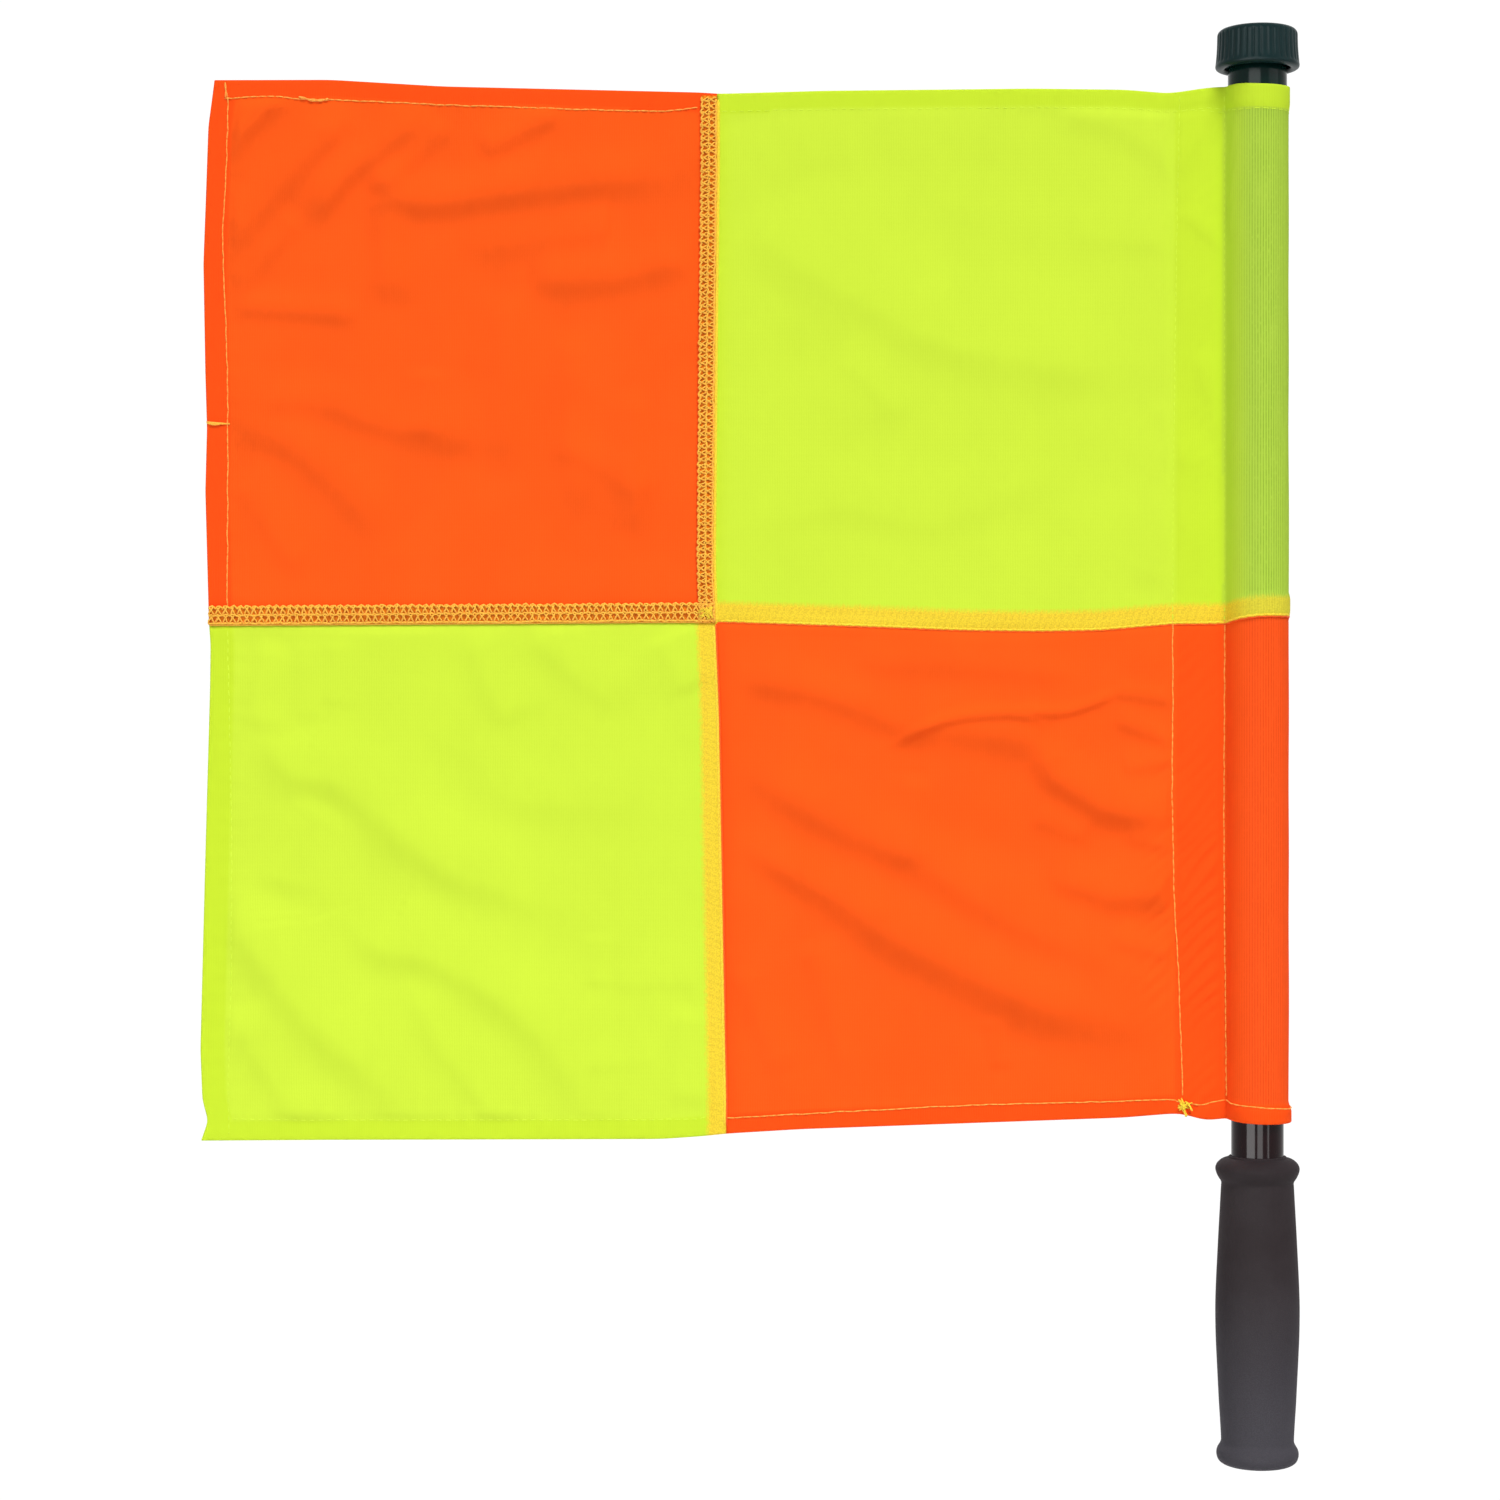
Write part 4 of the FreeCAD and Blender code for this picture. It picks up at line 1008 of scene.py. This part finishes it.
def net_lines(length, width, pitch, at, side_out, seed):
    """An overlock net as lines in space with their radii: each row of the pattern repeats every stitch,
    each point a little out of place. at(away, along) gives the (u, z) of a place in the strip."""
    draw = np.random.default_rng(seed)
    count = int(length / pitch)
    number = np.arange(count)
    lines, widths = [], []
    for way, radius, rise, runs_on in NET_ROWS:
        step = np.array(way)
        away = (step[None, :, 0] + draw.normal(0, 0.018, (count, len(step)))) * width
        along = (number[:, None] + step[None, :, 1] + draw.normal(0, 0.04, (count, len(step)))) * pitch
        u, z = at(away.ravel(), along.ravel())
        out = side_out + np.sign(side_out) * (rise + 0.12 * np.abs(np.sin(np.arange(away.size) * 1.3)))
        row = place(u, z, out)
        rows = [row] if runs_on else list(row.reshape(count, len(step), 3))
        lines += rows
        widths += [radius] * len(rows)
    return lines, widths


def tail_cloth(name, length, width, at, out):
    """The two cut layers in a seam's tail, as a strip that follows the seam."""
    away = np.linspace(0.1, width * 0.93, 6)
    along = np.arange(0, length, 2.0)
    a, b = np.meshgrid(away, along)
    u, z = at(a.ravel(), b.ravel())
    points = place(u, z, out)
    faces = grid_faces(*a.shape)
    facing = np.cross(points[1] - points[0], points[len(away)] - points[0])
    if (facing[1] > 0) == (out > 0):
        faces = faces[:, ::-1]
    piece = new_mesh(name, points, faces, TAIL_CLOTH, "flag")
    return thicken(piece, TAIL_THICK)


def beside_middle(low):
    """Gives the (u, z) of a place at a distance left of the middle seam and along it from a height."""
    return lambda away, along: (edge("middle", low + along) - away, low + along)


def above_cross(left):
    """Gives the (u, z) of a place at a distance above the cross seam and along it from a place."""
    return lambda away, along: (left + along, edge("cross", left + along) + away)


def make_seams():
    """The four seams' tails, each with its overlock net on its outer side."""
    cross_at_seam = float(edge("cross", -197.7))
    top_at_seam = float(edge("top", -197.2))
    low = float(edge("bottom", -194)) + HEM
    front = CLOTH / 2 + TAIL_THICK / 2 + 0.05
    # Node, length, width, stitch length, place, height over the cloth's middle, seed
    plans = (
        ("upper_seam", top_at_seam - cross_at_seam - 0.5, 6.1, 2.34, beside_middle(cross_at_seam), front, 51),
        ("fly_seam", 184.6, 7.1, 2.6, above_cross(-382.6), front, 52),
        ("hoist_seam", 164.0, TAIL, 2.6, above_cross(-197), -front, 53),
        ("lower_seam", cross_at_seam - low - 1, 6.1, 2.34, beside_middle(low), -front, 54),
    )
    for name, length, width, pitch, at, out, seed in plans:
        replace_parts(tail_cloth(name + "_tail", length, width, at, out), name)
        over = out + math.copysign(TAIL_THICK / 2 + 0.12, out)
        lines, widths = net_lines(length, width, pitch, at, over, seed)
        thread_tubes(name + "_net", lines, widths, NET_THREAD, sides=5)


def make_seam_edges():
    """The yellow needle threads that show along each seam, the line beside them where the orange cloth
    dips, and the tangle of short strokes where the four seams meet."""
    z = np.arange(254, 446, 1.1)
    upper = place(edge("middle", z) + 0.35, z, FRONT - 0.3 + 0.05 * np.sin(z * 2.7))
    z = np.arange(71, 254, 1.1)
    lower = place(edge("middle", z) - 0.75 + 0.08 * np.sin(z * 2.1), z, FRONT - 0.25 + 0.06 * np.sin(z * 2.7))
    dark_lower = place(edge("middle", z) + 0.1, z, CLOTH / 2)
    u = np.arange(-196.5, 20, 1.0)
    hoist = place(u, edge("cross", u) + 0.55 + 0.15 * np.sin(u * 2.1), FRONT - 0.2 + 0.08 * np.sin(u * 2.7))
    dark_hoist = place(u, edge("cross", u) - 0.15 + 0.1 * np.sin(u * 1.7), CLOTH / 2)
    u = np.arange(-382, -199, 1.1)
    fly = place(u, edge("cross", u) - 0.1, FRONT + 0.1 + 0.05 * np.sin(u * 2.7))
    widths = [radius * ease_in(np.minimum(n, n[::-1]) / 2 + 0.3) for radius, n in (
        (0.78, np.arange(len(upper))), (0.6, np.arange(len(lower))), (0.45, np.arange(len(hoist))),
    )]
    yellow = [upper, lower, hoist]
    thread_tubes("seam_needle_thread", yellow, widths, YELLOW_THREAD, sides=8)
    thread_tubes("fly_seam_needle_thread", [fly], [0.3], NET_THREAD)
    thread_tubes("seam_dips", [dark_lower, dark_hoist], [0.3, 0.28], SEAM_DIP)
    draw = np.random.default_rng(61)
    strokes = []
    for middle_u, middle_z, turn, half in zip(
        draw.uniform(-203.2, -199.3, 26), draw.uniform(256.2, 259.8, 26), draw.uniform(0.3, 2.4, 26),
        draw.uniform(0.7, 1.3, 26),
    ):
        step = np.linspace(-half, half, 5)
        bend = 0.25 * (1 - (step / half) ** 2)
        u, z = middle_u + step * math.cos(turn) + bend, middle_z + step * math.sin(turn)
        strokes.append(place(u, z, 1.35 + bend))
    thread_tubes("seam_crossing_thread", strokes, [0.19] * len(strokes), YELLOW_THREAD)


# Rigid pieces


def turned_piece(name, line, sides, material, body, radius_change=None):
    """A turned piece: a profile of (radius, height) carried round the pole's axis, its radius changed
    by a function of the angle and the profile's own run where one is given. Ends on the axis close it."""
    line = np.array(line, float)
    angle = np.arange(sides) * TURN / sides
    radius = np.repeat(line[:, :1], sides, 1)
    if radius_change is not None:
        radius = radius + radius_change(angle[None, :], line[:, 0][:, None], line[:, 1][:, None])
    height = np.repeat(line[:, 1:2], sides, 1)
    points = np.stack([radius * np.cos(angle), radius * np.sin(angle), height], -1) * MM
    faces = grid_faces(len(line), sides, closed=True)
    return new_mesh(name, points.reshape(-1, 3), faces, material, body)


def closed_loop(name, line, sides, material, body):
    """A turned piece whose profile is a closed loop that stays off the axis, such as a tube's wall."""
    piece = turned_piece(name, np.vstack([line, line[:1]]), sides, material, body)
    weld(piece)
    return piece


def weld(piece):
    """Merges points that lie in one place, which closes seams and poles, and turns faces outwards."""
    work = bmesh.new()
    work.from_mesh(piece.data)
    bmesh.ops.remove_doubles(work, verts=work.verts, dist=0.001 * MM)
    bmesh.ops.recalc_face_normals(work, faces=work.faces)
    work.to_mesh(piece.data)
    work.free()


def tube_wall(outer, inner, low, high, chamfer=0.25, rows=24):
    """The closed section of a tube's wall, with its outer corners broken."""
    up = np.linspace(low + chamfer, high - chamfer, rows)
    outside = [(outer - chamfer, low)] + [(outer, z) for z in up] + [(outer - chamfer, high)]
    inside = [(inner, high)] + [(inner, z) for z in up[::-1]] + [(inner, low)]
    return outside + inside


def make_tubes():
    """The two tubes, each from its own node's box: its outside, and its wall's thickness inwards."""
    for name, node, wall, material, body, slot in (
        ("pole_tube", "inner_tube", 1.6, INNER_PLASTIC, "handle", "dark_tube"),
        ("spinning_tube", "outer_tube", 1.1, OUTER_PLASTIC, "flag", "outer_tube_plastic"),
    ):
        low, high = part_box(node)
        outer = high.x / MM
        line = tube_wall(outer, outer - wall, low.z / MM, high.z / MM)
        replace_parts(closed_loop(name, line, 96, material, body), node)


# The grip's outside from the butt up, over the collar's edge and down into the bore, as (radius, z)
GRIP_LINE = (
    (0, -53), (5, -53), (9.5, -52.9), (12.4, -52.3), (14.2, -51), (14.88, -48.9), (14.6, -47), (13.7, -45.4),
    (13.22, -44.2), (13.2, -42.6), (13.5, -37), (13.95, -30), (14.35, -22), (14.75, -14), (15.1, -6),
    (15.25, 2), (15.2, 8), (14.9, 16), (14.5, 24), (14.1, 32), (13.6, 41), (13.2, 48.4), (13.1, 50),
    (13.35, 50.9), (14.15, 52.1), (14.9, 53.7), (15.23, 55.2), (14.95, 56.5), (14.2, 57.6), (12.9, 58.6),
    (11.6, 59.1), (10.8, 59.15), (10.55, 59.3), (10.45, 59.7), (10.2, 59.9), (9.8, 59.9), (9.58, 59.7),
    (9.55, 56),
)


def make_grip():
    """The grip's rounded outside, and its bore for the pole, closed at the butt."""
    floor = min(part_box("inner_tube")[0].z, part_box("end_plug")[0].z) / MM
    line = np.vstack([line_through(GRIP_LINE, 4), [(GRIP_LINE[-1][0], floor), (0, floor)]])
    grip = turned_piece("foam_grip", line, 96, GRIP_FOAM, "handle")
    weld(grip)
    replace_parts(grip, "grip")


RIBS = 36
GROOVE = 0.3  # depth of the grooves between the cap's ribs
THREAD_PITCH = 2.5
THREAD_DEPTH = 0.3


def make_cap():
    """The cap's section: rounded top, flaring side, lip, hollow skirt, ceiling and a spigot down the
    middle. Round the side the radius sinks by the cube of a wave of the angle, which leaves narrow
    grooves between wide ribs, and on the spigot by the square of a wave that climbs as a helix."""
    low, high = (corner.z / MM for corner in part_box("cap"))
    edge_round, lip, crown, flare = 2.1, 2.3, 14.55, 0.57
    ceiling, spigot = 2.5, 12.0
    bend = np.linspace(math.pi / 2, 0, 8)
    top = [(r, high) for r in np.linspace(0, 12, 6)]
    rounding = [
        (crown - edge_round + edge_round * math.cos(a), high - edge_round + edge_round * math.sin(a))
        for a in bend
    ]
    side = [
        (crown + flare * t**2, high - edge_round - t * (high - edge_round - low - lip))
        for t in np.linspace(0.05, 1, 16)
    ]
    rim = [
        (15.18, low + 1.9), (15.24, low + 1.4), (15.2, low + 1), (15, low + 0.6), (14.6, low + 0.3),
        (14, low + 0.1),
    ]
    inside = np.linspace(low + 1.1, high - ceiling - 0.2, 6)
    skirt = [(13.3, low), (12.6, low), (12.05, low + 0.3)] + [(11.9, z) for z in inside]
    under = [(11.6, high - ceiling), (9, high - ceiling), (5.4, high - ceiling)]
    foot = high - ceiling - spigot
    threaded = np.linspace(high - ceiling - 0.3, foot + 0.6, 40)
    stud = [(4.95, z) for z in threaded] + [(4.4, foot), (2, foot), (0, foot)]
    line = np.array(top + rounding + side + rim + skirt + under + stud)
    rib_low, rib_high = low + lip - 0.5, high - edge_round * 0.6

    def sunk_in(angle, radius, height):
        """How far grooves and thread change the radius."""
        groove = (0.5 - 0.5 * np.cos(RIBS * angle)) ** 3
        outside = (radius > 13.2) * ease_in((height - rib_low) / 0.9) * ease_in((rib_high - height) / 0.9)
        thread = (radius < 4.96) & (radius > 4.9) & (height < high - ceiling - 1) & (height > foot + 1)
        helix = THREAD_DEPTH * (0.5 - 0.5 * np.cos(angle - TURN * height / THREAD_PITCH)) ** 2
        return -GROOVE * groove * outside - helix * thread

    cap = turned_piece("ribbed_cap", line, RIBS * 14, CAP_PLASTIC, "cap", sunk_in)
    weld(cap)
    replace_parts(cap, "cap")


def dress_frame_nodes():
    """The small inner fittings keep their own shapes and get their plastics."""
    for node, used in (
        ("stop_collar", FITTING_PLASTIC), ("end_plug", FITTING_PLASTIC), ("cap_bush", FITTING_PLASTIC),
        ("cap_washer", WASHER_PLASTIC),
    ):
        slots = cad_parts[node].data.materials
        slots.clear()
        slots.append(used)


def make_cloth():
    """The four quarters, each in place of the frame's own."""
    for name, side, level, used, slot, node in (
        ("orange_quarter_fly", "fly", "top", ORANGE, "orange_cloth", "fly_upper"),
        ("yellow_quarter_hoist", "hoist", "top", YELLOW, "yellow_cloth", "hoist_upper"),
        ("yellow_quarter_fly", "fly", "bottom", YELLOW, "yellow_cloth", "fly_lower"),
        ("orange_quarter_hoist", "hoist", "bottom", ORANGE, "orange_cloth", "hoist_lower"),
    ):
        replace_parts(quarter(name, side, level, used), node)


# The room: floor, light and camera

FLOOR_DROP = 560  # the flag is held up, so the floor lies well below the butt
FLOOR_RADIUS = 1700
FLOOR_MIDDLE = -180  # x of the floor's middle, below the middle of the flag
CAMERA_AWAY = 1168  # from the pole's axis
CAMERA_ACROSS, CAMERA_UP = -185.2, 208
LENS, SENSOR = 76.8, 36.0
WINDOWS_AWAY = 1.9  # metres from the pole


def white_where_seen(tree):
    """Adds plain white where the camera, a reflection or a refraction looks straight at it."""
    path = add(tree, "LightPath")
    seen = sums(tree, "MAXIMUM", path.outputs["Is Camera Ray"], path.outputs["Is Glossy Ray"])
    return sums(tree, "MAXIMUM", seen, path.outputs["Is Transmission Ray"])


def make_world():
    """Soft even light from all sides, and white wherever the background is seen."""
    world = bpy.data.worlds.new("white_studio")
    bpy.context.scene.world = world
    world.use_nodes = True
    tree = world.node_tree
    tree.nodes.clear()
    soft = add(tree, "Background", {"Color": (1, 1, 1, 1), "Strength": 0.26})
    white = add(tree, "Background", {"Color": (1, 1, 1, 1), "Strength": 1.04})
    both = add(tree, "MixShader", {0: white_where_seen(tree), 1: soft.outputs[0], 2: white.outputs[0]})
    add(tree, "OutputWorld", {0: both.outputs[0]})


def floor_material():
    """Matt and pale, with a little light of its own where it is seen, so that only a shadow darkens it."""
    made = bpy.data.materials.new("pale_floor")
    made.use_nodes = True
    tree = made.node_tree
    shader = tree.nodes["Principled BSDF"]
    shader.inputs["Base Color"].default_value = (0.9, 0.9, 0.9, 1)
    shader.inputs["Roughness"].default_value = 0.9
    shader.inputs["Specular IOR Level"].default_value = 0.0
    shader.inputs["Emission Color"].default_value = (1, 1, 1, 1)
    tree.links.new(times(tree, white_where_seen(tree), 0.35), shader.inputs["Emission Strength"])
    return made


def make_floor(sides=128):
    """A round floor far below the flag."""
    angle = np.arange(sides) * TURN / sides
    rim = np.stack([
        FLOOR_RADIUS * np.cos(angle) + FLOOR_MIDDLE, FLOOR_RADIUS * np.sin(angle), 0 * angle - FLOOR_DROP,
    ], 1) * MM
    mesh = bpy.data.meshes.new("floor")
    mesh.from_pydata(rim.tolist(), [], [list(range(sides))])
    mesh.materials.append(floor_material())
    floor = bpy.data.objects.new("floor", mesh)
    bpy.context.scene.collection.objects.link(floor)


def aimed(name, lamp, place_at, aim):
    """Puts a lamp in its place with its light going towards a point."""
    holder = bpy.data.objects.new(name, lamp)
    bpy.context.scene.collection.objects.link(holder)
    holder.location = place_at
    holder.rotation_euler = (Vector(place_at) - Vector(aim)).to_track_quat("Z", "Y").to_euler()
    return holder


def window(name, low_turn, high_turn, low, high, radiance):
    """A bright upright panel in front that only the shiny parts reflect, between two directions seen
    from the pole, in degrees to the right of the front, and two heights."""
    height, middle_height = high - low, (high + low) / 2
    turn = math.radians((low_turn + high_turn) / 2)
    width = 2 * WINDOWS_AWAY * math.tan(math.radians(high_turn - low_turn) / 2)
    lamp = bpy.data.lights.new(name, "AREA")
    lamp.shape = "RECTANGLE"
    lamp.size, lamp.size_y = width, height
    lamp.energy = radiance * math.pi * width * height
    here = (WINDOWS_AWAY * math.sin(turn), -WINDOWS_AWAY * math.cos(turn), middle_height)
    aimed(name, lamp, here, (0, 0, middle_height)).visible_diffuse = False


def even_light(name, direction, share, spread):
    """A far lamp that gives white cloth facing the front its share of full white. One from behind
    gives it to what faces the lamp."""
    lamp = bpy.data.lights.new(name, "SUN")
    lamp.angle = math.radians(spread)
    facing = -direction[1] / math.dist((0, 0, 0), direction)
    lamp.energy = share * math.pi / facing if facing > 0 else share * math.pi
    aimed(name, lamp, direction, (0, 0, 0)).visible_glossy = False


def make_lights():
    """Three windows for the stripes on grip and lower tube, two for those on cap and upper tube, and
    the even lights for the cloth."""
    window("lower_left_window", -56, -20, -0.5, 0.3, 10.5)
    window("lower_front_window", -9, 14, -0.5, 0.3, 7.8)
    window("lower_right_strip", 36, 43, -0.5, 0.3, 7)
    window("upper_front_window", -43, 3, 0.6, 1.3, 6.2)
    window("upper_right_window", 37, 79, 0.6, 1.3, 1.6)
    even_light("upper_key", (0.35, -0.8, 1.15), 0.5, 24)
    even_light("front_fill", (-1.1, -1.2, 0.2), 0.15, 60)
    even_light("back_light", (-0.4, 1.2, 0.7), 0.5, 40)


def make_camera():
    """The photo's camera: level, in front of the flag's middle."""
    lens = bpy.data.cameras.new("photo_camera")
    lens.lens, lens.sensor_width = LENS, SENSOR
    camera = bpy.data.objects.new("photo_camera", lens)
    bpy.context.scene.collection.objects.link(camera)
    camera.location = Vector((CAMERA_ACROSS, -CAMERA_AWAY, CAMERA_UP)) * MM
    camera.rotation_euler = (math.pi / 2, 0, 0)
    bpy.context.scene.camera = camera


make_cloth()
make_seams()
make_seam_edges()
make_threads()
make_tacks()
make_tubes()
make_grip()
make_cap()
dress_frame_nodes()
make_world()
make_floor()
make_lights()
make_camera()
bpy.context.scene.view_settings.view_transform = "Standard"
